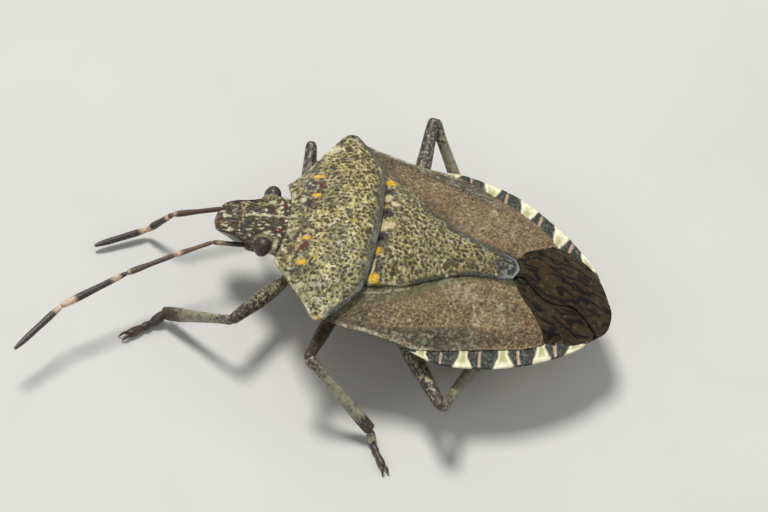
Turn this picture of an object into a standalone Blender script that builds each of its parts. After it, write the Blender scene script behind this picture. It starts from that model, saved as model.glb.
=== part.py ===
"""A brown marmorated stink bug, a shield bug 15 mm long, standing still on its six feet.

The script's lengths are in millimetres and become metres where a mesh is made. The body is drawn
in its own frame: "behind" runs from the tip of the head to the tail, "aside" is sideways with the
bug's left positive, and "up" is the height over the shoulder corners. That frame hangs from an
empty that tips the body forward a little. Legs and antennae are placed over the floor. The bug
faces -Y with +Z up, and the origin ends up under the middle of its bounding box.
"""

import math

import bmesh
import bpy
import numpy as np
from mathutils import Matrix, Vector

MM = 0.001

BODY_LENGTH = 15.0
PIVOT_BEHIND = BODY_LENGTH / 2
BODY_PITCH = math.radians(4.0)
SHOULDER_HEIGHT = 3.8

GAP = 0.3
PLATE = 0.5
BED = PLATE + GAP
EDGE_BEVEL = 0.12
ROOM = GAP - 0.06

FEELER_RADIUS = 0.25
FEELER_TIP_RADIUS = 0.17
FEELER_JOINT = 0.24
FEELER_ROOM = 0.22
EYE_RADIUS = 0.37
EYE_BEHIND = 1.88
EYE_ASIDE = 1.22
EYE_UP = -0.82
COXA_RADIUS = 0.42
FEMUR_RADIUS = 0.38
KNEE_RADIUS = 0.27
TIBIA_RADIUS = 0.25
TARSUS_RADIUS = 0.22
SOLE_DEPTH = 0.16
CLAW_LENGTH = 0.45
CLAW_SPREAD = 0.2

CALLUS_BEHIND = 3.05
CALLUS_ASIDE = 1.25
CALLUS_HEIGHT = 0.08
CALLUS_LENGTH = 0.45
CALLUS_WIDTH = 0.85
CORIUM_COLUMNS = 8
CORIUM_VEINS = (4, 7)
CORIUM_VEIN_HEIGHT = 0.06
COVER_COLUMNS = 24
UNDER_COLUMNS = 8
MEMBRANE_VEIN_HEIGHT = 0.08
UNDER_DROP = 0.08

THORAX_FRONT = 2.6
THORAX_REAR = 7.95

LEFT = 1
RIGHT = -1


def profile(*knots):
    """A smooth curve of value against position, through a few knots."""
    places = np.array([knot[0] for knot in knots], dtype=float)
    values = np.array([knot[1] for knot in knots], dtype=float)
    slopes = np.gradient(values, places)

    def at(place):
        place = min(max(place, places[0]), places[-1])
        i = min(int(np.searchsorted(places, place, side="right")) - 1, len(places) - 2)
        step = places[i + 1] - places[i]
        t = (place - places[i]) / step
        rise = values[i + 1] - values[i]
        ease = t * t * (3 - 2 * t)
        lean = slopes[i] * t * (1 - t) ** 2 - slopes[i + 1] * t * t * (1 - t)
        return float(values[i] + rise * ease + step * lean)

    return at


def path(*points):
    """A smooth curve through points of any dimension, read from 0 to 1 along its chords."""
    spots = np.array(points, dtype=float)
    chords = np.linalg.norm(np.diff(spots, axis=0), axis=1)
    marks = np.concatenate([[0.0], np.cumsum(chords)]) / chords.sum()
    axes = [profile(*zip(marks, spots[:, k])) for k in range(spots.shape[1])]
    return lambda t: np.array([axis(t) for axis in axes])


def mirrored(curve):
    """The same plan curve on the other side of the body."""
    return lambda t: curve(t) * np.array([1.0, -1.0])


def patch(front, rear, inner, outer):
    """A plan surface between four edge curves, read by u across and v from front to rear."""

    def at(u, v):
        across = (1 - v) * front(u) + v * rear(u)
        along = (1 - u) * inner(v) + u * outer(v)
        corners = (1 - v) * ((1 - u) * front(0) + u * front(1))
        corners = corners + v * ((1 - u) * rear(0) + u * rear(1))
        return across + along - corners

    return at


# Widths and heights of the body

body_edge = profile(
    (5.3, 4.15), (6.5, 4.05), (7.8, 4.18), (8.8, 4.37), (9.5, 4.35), (10.3, 4.25), (11.4, 3.9),
    (12.4, 3.33), (13.1, 2.88), (13.6, 2.45), (14.2, 1.9), (14.6, 1.3), (14.86, 0.75), (15.0, 0.5),
)
edge_up = profile((5.0, -0.25), (7.0, -0.4), (9.0, -0.5), (14.0, -0.5), (15.1, -0.55))
wing_ridge = profile(
    (4.5, 0.6), (7.0, 0.65), (9.2, 0.6), (11.05, 0.5), (11.9, 0.33), (12.9, 0.12), (14.0, -0.13),
    (15.1, -0.45),
)
shield_half = profile((2.2, 1.75), (2.85, 2.45), (3.3, 3.2), (3.7, 3.8), (4.2, 4.35), (4.75, 3.95),
                      (5.27, 3.3), (5.7, 2.8))
shield_ridge = profile((2.2, -0.42), (2.55, -0.26), (3.2, 0.12), (3.8, 0.45), (4.5, 0.75),
                       (5.1, 0.87), (5.8, 0.88))
shield_edge = profile((2.2, -0.8), (2.85, -0.55), (3.3, -0.3), (3.7, -0.12), (4.2, 0.0),
                      (4.75, 0.14), (5.27, 0.3), (5.7, 0.48))
scutellum_half = profile((5.6, 2.7), (6.5, 2.25), (7.0, 2.05), (7.95, 1.5), (9.2, 0.9),
                         (10.4, 0.65), (11.0, 0.55), (11.2, 0.5))
scutellum_ridge = profile((5.6, 0.8), (6.5, 0.95), (7.2, 0.93), (8.0, 0.85), (9.2, 0.72),
                          (10.4, 0.68), (11.2, 0.6))
scutellum_edge = profile((5.6, 0.5), (6.2, 0.38), (7.0, 0.27), (8.0, 0.27), (9.2, 0.42),
                         (10.4, 0.48), (11.2, 0.44))
sternum_up = profile((2.4, -2.15), (3.4, -2.3), (5.5, -2.42), (7.5, -2.55), (8.7, -2.65),
                     (10.5, -2.5), (12.5, -2.15), (14.0, -1.72), (14.86, -1.5))


def shield_top(behind, aside):
    """Height of the pronotum, the shield behind the head."""
    ridge = shield_ridge(behind)
    share = min(abs(aside) / shield_half(behind), 1.0)
    return ridge - (ridge - shield_edge(behind)) * share**2.2


def pronotum_top(behind, aside):
    """The shield with its two low calluses, raised behind the head on either side."""
    far = math.hypot((behind - CALLUS_BEHIND) / CALLUS_LENGTH,
                     (abs(aside) - CALLUS_ASIDE) / CALLUS_WIDTH)
    return shield_top(behind, aside) + CALLUS_HEIGHT * math.exp(-far * far)


def scutellum_top(behind, aside):
    """Height of the scutellum, the triangle between the wings."""
    ridge = scutellum_ridge(behind)
    share = min(abs(aside) / scutellum_half(behind), 1.0)
    return ridge - (ridge - scutellum_edge(behind)) * share**2.2


def wing_top(behind, aside):
    """Height of the folded forewings, both the leathery and the clear part."""
    ridge = wing_ridge(behind)
    share = min(abs(aside) / body_edge(behind), 1.0)
    return ridge - (ridge - edge_up(behind)) * share**1.5


# The outlines of the plates, in plan

shield_front = path((2.3, -1.75), (2.46, -1.2), (2.55, 0.0), (2.46, 1.2), (2.3, 1.75))
shield_rear = path((5.6, -2.7), (5.72, -1.4), (5.75, 0.0), (5.72, 1.4), (5.6, 2.7))
shield_side = path((2.3, 1.75), (2.85, 2.45), (3.3, 3.2), (3.7, 3.8), (4.08, 4.3), (4.3, 4.32),
                   (4.75, 3.95), (5.27, 3.25), (5.6, 2.7))
shield_plan = patch(shield_front, shield_rear, mirrored(shield_side), shield_side)

SCUTELLUM_START = 6.02
SCUTELLUM_END = 11.02
scutellum_front = path((5.95, -2.3), (SCUTELLUM_START, 0.0), (5.95, 2.3))
scutellum_rear = path((SCUTELLUM_END, -0.4), (SCUTELLUM_END + 0.16, 0.0), (SCUTELLUM_END, 0.4))
scutellum_side = path((5.95, 2.3), (6.5, 2.08), (7.0, 1.9), (7.95, 1.36), (9.2, 0.76),
                      (10.4, 0.5), (SCUTELLUM_END, 0.4))
scutellum_plan = patch(scutellum_front, scutellum_rear, mirrored(scutellum_side), scutellum_side)

corium_front = path((5.93, 2.8), (5.5, 3.4), (5.1, 3.98))
corium_rear = path((11.05, 0.8), (11.8, 1.5), (12.6, 2.3))
corium_inner = path((5.93, 2.8), (6.5, 2.38), (7.0, 2.2), (7.95, 1.66), (9.2, 1.06), (10.4, 0.82),
                    (11.05, 0.8))
corium_outer = path((5.1, 3.98), (5.6, 4.1), (6.5, 4.05), (7.8, 4.14), (8.6, 4.03), (9.3, 3.87),
                    (10.05, 3.66), (11.15, 3.26), (12.1, 2.75), (12.6, 2.3))
corium_plan = patch(corium_front, corium_rear, corium_inner, corium_outer)

# The right membrane lies over the left one, and its free edge wanders past the middle.
cover_rear = path((14.62, 1.05), (14.95, 0.4), (15.0, -0.25), (14.72, -1.05))
cover_inner = path((11.5, 0.36), (12.0, 0.52), (12.43, 0.7), (12.92, 0.67), (13.51, 0.52),
                   (14.02, 0.72), (14.62, 1.05))
cover_outer = path((12.98, -2.2), (13.5, -2.02), (14.1, -1.6), (14.72, -1.05))
cover_base = path((11.5, 0.36), (11.5, -0.36), (12.1, -1.35), (12.98, -2.2))
cover_plan = patch(cover_base, cover_rear, cover_inner, cover_outer)

under_front = path((11.78, 0.78), (11.95, 1.0))
under_rear = path((14.52, 1.32), (14.32, 1.5))
under_inner = path((11.78, 0.78), (12.43, 1.0), (12.92, 0.97), (13.51, 0.83), (14.02, 1.02),
                   (14.52, 1.32))
under_outer = path((11.95, 1.0), (12.4, 1.66), (12.98, 2.2), (13.5, 2.02), (14.0, 1.72),
                   (14.32, 1.5))
under_plan = patch(under_front, under_rear, under_inner, under_outer)


# Making objects

def start_scene():
    """Empties the scene and makes the bug's collection and a hidden one for its cutters."""
    for old in list(bpy.data.objects):
        bpy.data.objects.remove(old, do_unlink=True)
    bug = bpy.data.collections.new("shield_bug")
    cutters = bpy.data.collections.new("cutters")
    bpy.context.scene.collection.children.link(bug)
    bpy.context.scene.collection.children.link(cutters)
    cutters.hide_render = True
    return bug, cutters


def material(name, colour, roughness, metallic=0.0):
    made = bpy.data.materials.new(name)
    made.use_nodes = True
    shader = made.node_tree.nodes["Principled BSDF"]
    shader.inputs["Base Color"].default_value = (*colour, 1.0)
    shader.inputs["Roughness"].default_value = roughness
    shader.inputs["Metallic"].default_value = metallic
    return made


def place(obj, collection, parent, look=None):
    """Moves a new object into its collection, hangs it from its parent and gives its material."""
    for old in list(obj.users_collection):
        old.objects.unlink(obj)
    collection.objects.link(obj)
    obj.parent = parent
    if look is not None:
        obj.data.materials.clear()
        obj.data.materials.append(look)
    return obj


def empty(name, collection, location, pitch=0.0, parent=None):
    made = bpy.data.objects.new(name, None)
    made.empty_display_size = 2 * MM
    made.location = Vector(location) * MM
    made.rotation_euler.x = pitch
    made.parent = parent
    collection.objects.link(made)
    return made


def hide_as_cutter(obj):
    obj.hide_render = True
    obj.display_type = "WIRE"


def smooth(obj, sharp_over=50.0):
    obj.data.shade_smooth()
    obj.data.set_sharp_from_angle(angle=math.radians(sharp_over))


def body_point(behind, aside, up):
    """A point of the body frame, as the tipped empty's own coordinates in metres."""
    return Vector((aside, behind - PIVOT_BEHIND, up)) * MM


def over_floor(behind, aside, up):
    """The same point over the floor, in millimetres."""
    tip = Matrix.Rotation(-BODY_PITCH, 3, "X")
    turned = tip @ Vector((aside, behind - PIVOT_BEHIND, up))
    return np.array([turned.x, turned.y + PIVOT_BEHIND, turned.z + SHOULDER_HEIGHT])


def plate(name, plan, top, side, divisions, look, bug, parent, lift=None):
    """A shell plate: a grid laid on the body by its plan and height, and thickened downward.

    A lift raises the upper side's points after that, so fine veins leave the underside smooth.
    """
    across, along = divisions
    bpy.ops.mesh.primitive_grid_add(x_subdivisions=across, y_subdivisions=along, size=2)
    made = bpy.context.object
    made.name = name
    spots = [((vertex.co.x + 1) / 2, (vertex.co.y + 1) / 2) for vertex in made.data.vertices]
    for vertex, (u, v) in zip(made.data.vertices, spots):
        behind, aside = plan(u if side == LEFT else 1 - u, v)
        vertex.co = body_point(behind, side * aside, top(behind, side * aside, u, v))
    shell = made.modifiers.new("thickness", "SOLIDIFY")
    shell.thickness = PLATE * MM
    shell.offset = -1
    if lift is None:
        rim = made.modifiers.new("rim", "BEVEL")
        rim.width = EDGE_BEVEL * MM
        rim.segments = 1
        rim.limit_method = "ANGLE"
        rim.angle_limit = math.radians(70)
        smooth(made)
    else:
        settle(made)
        for vertex, (u, v) in zip(made.data.vertices, spots):
            vertex.co.z += lift(u, v) * MM
    return place(made, bug, parent, look)


def loft(name, rings, look, bug, parent):
    """A closed skin over rings of equally many points, with a flat face at each end."""
    mesh = bpy.data.meshes.new(name)
    shape = bmesh.new()
    rows = [[shape.verts.new(body_point(*point)) for point in ring] for ring in rings]
    for row, following in zip(rows, rows[1:]):
        for k in range(len(row)):
            after = (k + 1) % len(row)
            shape.faces.new((row[k], row[after], following[after], following[k]))
    shape.faces.new(list(reversed(rows[0])))
    shape.faces.new(rows[-1])
    bmesh.ops.recalc_face_normals(shape, faces=shape.faces)
    shape.to_mesh(mesh)
    shape.free()
    made = bpy.data.objects.new(name, mesh)
    bug.objects.link(made)
    smooth(made)
    return place(made, bug, parent, look)


def tube(name, points, radii, collection, parent, look=None, sides=8):
    """A round bar through points over the floor, as thick at each as its radius says."""
    start = Vector(points[0])
    line = bpy.data.curves.new(name, "CURVE")
    line.dimensions = "3D"
    line.bevel_depth = MM
    line.bevel_resolution = (sides - 4) // 2
    line.use_fill_caps = True
    spline = line.splines.new("POLY")
    spline.points.add(len(points) - 1)
    for spot, point, radius in zip(spline.points, points, radii):
        spot.co = (*((Vector(point) - start) * MM), 1.0)
        spot.radius = radius
    made = bpy.data.objects.new(name, line)
    made.location = start * MM
    collection.objects.link(made)
    return place(made, collection, parent, look)


def as_mesh(obj, collection):
    """Turns a bar into a closed mesh object of the same name, place and material."""
    name = obj.name
    graph = bpy.context.evaluated_depsgraph_get()
    mesh = bpy.data.meshes.new_from_object(obj.evaluated_get(graph))
    shape = bmesh.new()
    shape.from_mesh(mesh)
    bmesh.ops.remove_doubles(shape, verts=shape.verts, dist=0.001 * MM)
    shape.to_mesh(mesh)
    shape.free()
    made = bpy.data.objects.new(name, mesh)
    made.location = obj.location
    made.parent = obj.parent
    bpy.data.objects.remove(obj, do_unlink=True)
    made.name = name
    collection.objects.link(made)
    smooth(made)
    return made


def ball(name, centre, radius, collection, parent, look=None, stretch=(1.0, 1.0, 1.0)):
    bpy.ops.mesh.primitive_uv_sphere_add(segments=12, ring_count=8, radius=radius * MM)
    made = bpy.context.object
    made.name = name
    made.data.transform(Matrix.Diagonal((*stretch, 1.0)))
    made.location = Vector(centre) * MM
    smooth(made, 80)
    return place(made, collection, parent, look)


def cut(obj, cutter):
    """Cuts one object by another with a Boolean that stays on it."""
    hide_as_cutter(cutter)
    bite = obj.modifiers.new(cutter.name, "BOOLEAN")
    bite.operation = "DIFFERENCE"
    bite.object = cutter


def connected(start):
    """All faces that hang together with this one."""
    found = {start}
    edge_of_search = [start]
    while edge_of_search:
        face = edge_of_search.pop()
        for edge in face.edges:
            for other in edge.link_faces:
                if other not in found:
                    found.add(other)
                    edge_of_search.append(other)
    return found


def settle(obj):
    """Makes an object's modifiers part of its mesh, and keeps only its largest piece."""
    bpy.context.view_layer.update()
    graph = bpy.context.evaluated_depsgraph_get()
    mesh = bpy.data.meshes.new_from_object(obj.evaluated_get(graph))
    obj.modifiers.clear()
    shape = bmesh.new()
    shape.from_mesh(mesh)
    loose = set(shape.faces)
    pieces = []
    while loose:
        piece = connected(next(iter(loose)))
        loose -= piece
        pieces.append(piece)
    pieces.sort(key=lambda piece: sum(face.calc_area() for face in piece))
    for piece in pieces[:-1]:
        bmesh.ops.delete(shape, geom=list(piece), context="FACES")
    shape.to_mesh(mesh)
    shape.free()
    obj.data = mesh
    smooth(obj)


# The plates

def plain(top):
    return lambda behind, aside, u, v: top(behind, aside)


def vein_lift(columns, veins, height):
    """How far a wing's veins stand above its surface, one column of the grid to either side."""

    def at(u, v):
        nearest = min(abs(u * columns - vein) for vein in veins)
        fade = min(1.0, 5 * v, 5 * (1 - v))
        return height * max(0.0, 1 - nearest) * fade

    return at


def veined(top, lift):
    return lambda behind, aside, u, v: top(behind, aside) + lift(u, v)


def under_top(behind, aside):
    """The left membrane lies a little lower than the right one."""
    return wing_top(behind, aside) - UNDER_DROP


def make_plates(looks, bug, body):
    plate("pronotum", shield_plan, plain(pronotum_top), LEFT, (20, 10), looks["shield"], bug, body)
    plate("scutellum", scutellum_plan, plain(scutellum_top), LEFT, (12, 12), looks["shield"], bug,
          body)
    for side, word in ((LEFT, "left"), (RIGHT, "right")):
        veins = CORIUM_VEINS if side == LEFT else [CORIUM_COLUMNS - vein for vein in CORIUM_VEINS]
        top = veined(wing_top, vein_lift(CORIUM_COLUMNS, veins, CORIUM_VEIN_HEIGHT))
        plate(f"corium_{word}", corium_plan, top, side, (CORIUM_COLUMNS, 16), looks["corium"], bug,
              body)
    lift = vein_lift(COVER_COLUMNS, range(2, COVER_COLUMNS, 4), MEMBRANE_VEIN_HEIGHT)
    plate("membrane_right", lambda u, v: cover_plan(1 - u, v), plain(wing_top), LEFT,
          (COVER_COLUMNS, 8), looks["membrane"], bug, body, lift)
    lift = vein_lift(UNDER_COLUMNS, range(2, UNDER_COLUMNS, 4), MEMBRANE_VEIN_HEIGHT)
    plate("membrane_left", under_plan, plain(under_top), LEFT, (UNDER_COLUMNS, 10),
          looks["membrane"], bug, body, lift)


# The trunk under the plates

TRUNK_HALF_POINTS = 8
THORAX_SECTIONS = 12
THORAX_INSET = 0.5
THORAX_HALF = 3.55
FURROW_DEPTH = 0.42
FURROW_HALF = 0.62
FURROW_FADE = 0.8
ABDOMEN_SECTIONS = (8.25, 8.5, 9.1, 9.8, 10.5, 11.2, 11.9, 12.5, 13.1, 13.6, 14.0, 14.3, 14.55, 14.86)
RIM_THICKNESS = 0.35
RIM_DEPTH = 0.55
BED_RISE = 0.15
RIM_SLOPE = 0.18
RIM_ROOM = 0.22
LEAST_RIM = 0.03
TUCK = 0.55
BED_ROOM = 0.06


def bed_under(behind, aside):
    """Height of the trunk where plates lie over it, clear of all that may be near."""
    covers = []
    if behind < 6.1:
        covers.append(shield_top(min(behind, 5.75), aside))
    if behind > 5.6 and abs(aside) < scutellum_half(behind) + GAP and behind < 11.4:
        covers.append(scutellum_top(behind, aside))
    if behind > 4.7 and (behind > 10.9 or abs(aside) > scutellum_half(behind) - GAP):
        covers.append(wing_top(behind, aside))
    return min(covers) - BED - BED_ROOM


def belly_up(behind, aside, half, rim):
    """Height of the underside: a keel at the middle that rises to the rim."""
    share = min(abs(aside) / half, 1.0)
    keel = sternum_up(behind)
    return keel + (rim - keel) * share**1.7


def groove(behind, aside):
    """The furrow along the breast, where the folded beak lies."""
    along = min(max((THORAX_REAR - behind) / FURROW_FADE, 0.0), 1.0)
    return FURROW_DEPTH * along * math.exp(-((aside / FURROW_HALF) ** 4))


def spread(half):
    """Sideways places over a section, closer together towards its rims."""
    turn = np.linspace(-math.pi / 2, math.pi / 2, 2 * TRUNK_HALF_POINTS + 1)
    return half * np.sin(turn)


def thorax_ring(behind):
    half = min(shield_half(min(behind, 4.3)), body_edge(max(behind, 5.3))) - THORAX_INSET
    half = min(half, THORAX_HALF)
    rim = bed_under(behind, half) - RIM_THICKNESS
    top = [(behind, aside, bed_under(behind, aside)) for aside in spread(half)]
    low = [
        (behind, aside, belly_up(behind, aside, half, rim) + groove(behind, aside))
        for aside in reversed(spread(half))
    ]
    return top + low


# How far aside the wings cover the abdomen
wing_cover = profile((8.2, 4.1), (8.6, 4.03), (9.3, 3.87), (10.05, 3.66), (11.15, 3.26), (12.1, 2.75),
                     (12.9, 2.25), (13.5, 2.02), (14.1, 1.62), (14.72, 1.06), (14.9, 0.95))


def abdomen_ring(behind):
    """A section of the abdomen, whose rim stands bare beside the wings or is tucked under them."""
    covered = wing_cover(behind)
    bare = covered + RIM_ROOM
    shows = body_edge(behind) - bare > LEAST_RIM
    half = body_edge(behind) if shows else covered - TUCK
    step = bare if shows else half - RIM_ROOM / 2
    foot = step - RIM_ROOM / 2
    rim = edge_up(behind)
    top = [(aside, bed_under(behind, aside)) for aside in np.linspace(0, foot, TRUNK_HALF_POINTS - 2)]
    low = [
        (aside, min(belly_up(behind, aside, half, rim - RIM_THICKNESS), up - RIM_THICKNESS))
        for aside, up in top
    ]
    if shows:
        top[-1] = (foot, top[-1][1] + BED_RISE)
        low[-1] = (foot, low[-1][1] + BED_RISE)
        top += [(bare, rim), (half, rim)]
    else:
        top += [(step, bed_under(behind, step)), (half, bed_under(behind, half))]
    slope = min(RIM_SLOPE, (half - step) / 2)
    low += [(step, top[-2][1] - RIM_DEPTH), (half - slope, top[-1][1] - RIM_THICKNESS)]
    left = [(behind, aside, up) for aside, up in top + low[::-1]]
    right = [(behind, -aside, up) for behind, aside, up in left]
    count = len(top)
    return right[count - 1:0:-1] + left[:count] + left[count:-1] + right[:count - 1:-1]


def make_trunk(looks, bug, body):
    sections = np.linspace(THORAX_FRONT, THORAX_REAR, THORAX_SECTIONS)
    thorax = loft("thorax", [thorax_ring(a) for a in sections], looks["underside"], bug, body)
    abdomen = loft("abdomen", [abdomen_ring(a) for a in ABDOMEN_SECTIONS], looks["rim"], bug, body)
    return thorax, abdomen


# The head

head_half = profile((0.02, 0.3), (0.15, 0.56), (0.5, 0.72), (1.0, 0.84), (1.5, 0.98), (1.9, 1.15),
                    (2.25, 1.15))
head_ridge = profile((0.02, -1.53), (0.3, -1.22), (1.1, -0.87), (1.7, -0.65), (2.25, -0.42))
head_edge = profile((0.02, -1.57), (0.3, -1.33), (1.0, -1.11), (1.6, -0.98), (2.25, -0.8))
head_low = profile((0.02, -1.85), (0.5, -2.12), (1.2, -2.3), (2.25, -2.32))
HEAD_RING_POINTS = 10
HEAD_GROOVE = 0.08
GROOVE_SHARE = math.sin(math.pi / HEAD_RING_POINTS)


def head_ring(behind):
    half = head_half(behind)
    turn = np.linspace(-1, 1, HEAD_RING_POINTS + 1)
    asides = half * np.sin(turn * math.pi / 2)
    top = []
    for aside in asides:
        share = abs(aside) / half
        up = head_ridge(behind) - (head_ridge(behind) - head_edge(behind)) * share**2
        if abs(share - GROOVE_SHARE) < 0.02:
            up -= HEAD_GROOVE * min(max(1.6 - behind, 0.0), 1.0)
        top.append((behind, aside, up))
    low = []
    furrow = 0.3 * min(max((behind - 0.5) / 0.3, 0.0), 1.0)
    for aside in reversed(asides[1:-1]):
        share = abs(aside) / half
        up = head_low(behind) + (head_edge(behind) - 0.3 - head_low(behind)) * share**4
        up += furrow * math.exp(-((aside / 0.55) ** 4))
        top_here = head_edge(behind) - 0.2
        low.append((behind, aside, min(up, top_here)))
    return top + low


def make_head(looks, bug, cutters, body):
    sections = [0.02, 0.15, 0.35, 0.65, 1.0, 1.3, 1.6, 1.9, 2.25]
    head = loft("head", [head_ring(a) for a in sections], looks["head"], bug, body)
    for side, word in ((LEFT, "left"), (RIGHT, "right")):
        centre = (side * EYE_ASIDE, EYE_BEHIND - PIVOT_BEHIND, EYE_UP)
        ball(f"eye_{word}", centre, EYE_RADIUS, bug, body, looks["eye"], (1.0, 0.92, 1.0))
        socket = ball(f"socket_{word}", centre, EYE_RADIUS + ROOM, cutters, body)
        cut(head, socket)
    return head


def make_beak(looks, bug, origin):
    """The folded beak, lying in the furrow under the head and breast."""
    line = path(over_floor(0.75, 0, -2.48), over_floor(1.6, 0, -2.6), over_floor(3.5, 0, -2.62),
                over_floor(6.9, 0, -2.85))
    marks = np.linspace(0, 1, 9)
    tube("rostrum", [line(t) for t in marks], [0.26] * 7 + [0.24, 0.16], bug, origin,
         looks["leg"])


# The antennae

FEELERS = {
    "left": ((0.98, 1.4, 2.42), (0.95, 0.02, 2.55), (1.88, -1.22, 2.52), (3.12, -2.81, 2.4),
             (5.03, -4.87, 2.1), (7.08, -6.15, 1.7)),
    "right": ((-0.98, 1.4, 2.42), (-1.85, 1.3, 1.65), (-1.33, 0.27, 1.7), (-0.33, -1.61, 1.9),
              (-0.45, -2.37, 0.42), (0.75, -4.15, 0.3)),
}


def bend_share(before, here, after):
    """Half the tangent of the turn at a joint, which sets how far the two bars must keep off."""
    one = Vector(here) - Vector(before)
    two = Vector(after) - Vector(here)
    return math.tan(min(one.angle(two), 2.0) / 2)


def make_feelers(looks, head, bug, cutters, origin):
    for word, joints in FEELERS.items():
        for k in range(5):
            first = np.array(joints[k])
            last = np.array(joints[k + 1])
            along = (last - first) / np.linalg.norm(last - first)
            radius = FEELER_RADIUS
            if k > 0:
                turn = bend_share(joints[k - 1], joints[k], joints[k + 1])
                first = first + along * max(FEELER_JOINT / 2, radius * turn + 0.05)
            if k < 4:
                turn = bend_share(joints[k], joints[k + 1], joints[k + 2])
                last = last - along * max(FEELER_JOINT / 2, radius * turn + 0.05)
            middle = (first + last) / 2
            ends = (radius, radius, radius if k < 4 else FEELER_TIP_RADIUS)
            tube(f"antenna_{word}_{k + 1}", [first, middle, last], ends, bug, origin,
                 looks["feeler"])
            if k == 0:
                back = first - along * FEELER_ROOM
                room = tube(f"antenna_room_{word}", [back, last + along * FEELER_ROOM],
                            [radius + FEELER_ROOM] * 2, cutters, origin)
                cut(head, as_mesh(room, cutters))


# The legs

LEGS = {
    "fore_left": ((0.97, 3.2, 1.75), (4.05, 1.3, 2.4), (3.11, -1.06, 0.5), (4.42, -2.45, 0.0)),
    "mid_left": ((1.0, 5.3, 1.5), (5.34, 4.24, 3.03), (6.04, 7.19, 0.5), (7.55, 8.1, 0.0)),
    "hind_left": ((1.35, 6.95, 1.35), (5.8, 9.42, 2.63), (1.9, 10.7, 0.5), (0.8, 12.3, 0.0)),
    "fore_right": ((-1.1, 3.35, 1.72), (-4.14, 2.82, 3.2), (-3.2, 3.6, 0.5), (-4.6, 2.9, 0.0)),
    "mid_right": ((-1.1, 5.45, 1.5), (-4.95, 4.9, 2.1), (-5.65, 8.1, 0.5), (-6.15, 9.85, 0.0)),
    "hind_right": ((-1.35, 7.15, 1.35), (-6.44, 7.17, 3.4), (-4.27, 9.62, 0.5), (-3.9, 11.4, 0.0)),
}


def unit(vector):
    return vector / np.linalg.norm(vector)


def femur_line(coxa, knee, spare=0.0):
    """Points and radii of a thigh, narrow at the trochanter and rounded at the knee."""
    coxa = np.array(coxa)
    knee = np.array(knee)
    along = unit(knee - coxa)
    start = coxa + along * (COXA_RADIUS + GAP - spare)
    end = knee - along * 0.06
    marks = (0.0, 0.12, 0.3, 0.55, 0.8, 0.93, 1.0)
    radii = (0.24, 0.3, 0.36, FEMUR_RADIUS, 0.33, KNEE_RADIUS, 0.17)
    points = [start + (end - start) * t for t in marks]
    return points, [radius + spare for radius in radii]


def tibia_line(knee, ankle, spare=0.0):
    knee = np.array(knee)
    ankle = np.array(ankle)
    along = unit(ankle - knee)
    start = knee + along * KNEE_RADIUS
    end = ankle + along * spare
    marks = (0.0, 0.5, 0.92, 1.0)
    radii = (TIBIA_RADIUS, TIBIA_RADIUS, 0.26, 0.26)
    points = [start + (end - start) * t for t in marks]
    return points, [radius + spare for radius in radii]


def tarsus_line(ankle, toe):
    """The foot's three segments: they step down from the ankle and then lie along the floor."""
    ankle = np.array(ankle)
    end = toe_end(ankle, toe)
    marks = (0.0, 0.28, 0.42, 0.52, 0.62, 0.8, 1.0)
    radii = (0.22, 0.23, 0.17, 0.21, 0.17, 0.22, 0.19)
    points = [ankle + (end - ankle) * t for t in marks]
    for point, t in zip(points, marks):
        point[2] = SOLE_DEPTH + (ankle[2] - SOLE_DEPTH) * max(0.0, 1 - t / 0.45) ** 2
    return points, radii


def toe_end(ankle, toe):
    """The end of the last segment, from which the claws reach on to the toe's place."""
    toe = np.array(toe)
    ahead = unit((toe - ankle) * np.array([1.0, 1.0, 0.0]))
    return toe - ahead * CLAW_LENGTH + np.array([0.0, 0.0, SOLE_DEPTH])


def claw_line(ankle, toe, hand):
    """One of the two claws, hooked down to the floor."""
    end = toe_end(ankle, toe)
    ahead = unit((np.array(toe) - ankle) * np.array([1.0, 1.0, 0.0]))
    aside = np.array([-ahead[1], ahead[0], 0.0]) * hand
    root = end - ahead * 0.2 + aside * 0.05
    bow = end + ahead * CLAW_LENGTH * 0.45 + aside * CLAW_SPREAD * 0.8
    bow[2] += 0.06
    tip = end + ahead * CLAW_LENGTH + aside * CLAW_SPREAD
    tip[2] = 0.05
    line = path(root, bow, tip)
    marks = np.linspace(0, 1, 5)
    return [line(t) for t in marks], [0.13, 0.12, 0.1, 0.07, 0.035]


def fuse(obj, others):
    """Joins other closed meshes to an object and removes them."""
    for other in others:
        join = obj.modifiers.new(other.name, "BOOLEAN")
        join.operation = "UNION"
        join.object = other
    settle(obj)
    for other in others:
        bpy.data.objects.remove(other, do_unlink=True)


def flatten_sole(obj):
    """Cuts off what would reach below the floor, and closes the cut with a flat."""
    shape = bmesh.new()
    shape.from_mesh(obj.data)
    floor = Vector((0, 0, -obj.location.z))
    everything = list(shape.verts) + list(shape.edges) + list(shape.faces)
    found = bmesh.ops.bisect_plane(shape, geom=everything, plane_co=floor, plane_no=(0, 0, -1),
                                   clear_outer=True)
    rim = [item for item in found["geom_cut"] if isinstance(item, bmesh.types.BMEdge)]
    bmesh.ops.holes_fill(shape, edges=rim, sides=0)
    bmesh.ops.recalc_face_normals(shape, faces=shape.faces)
    shape.to_mesh(obj.data)
    shape.free()


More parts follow.
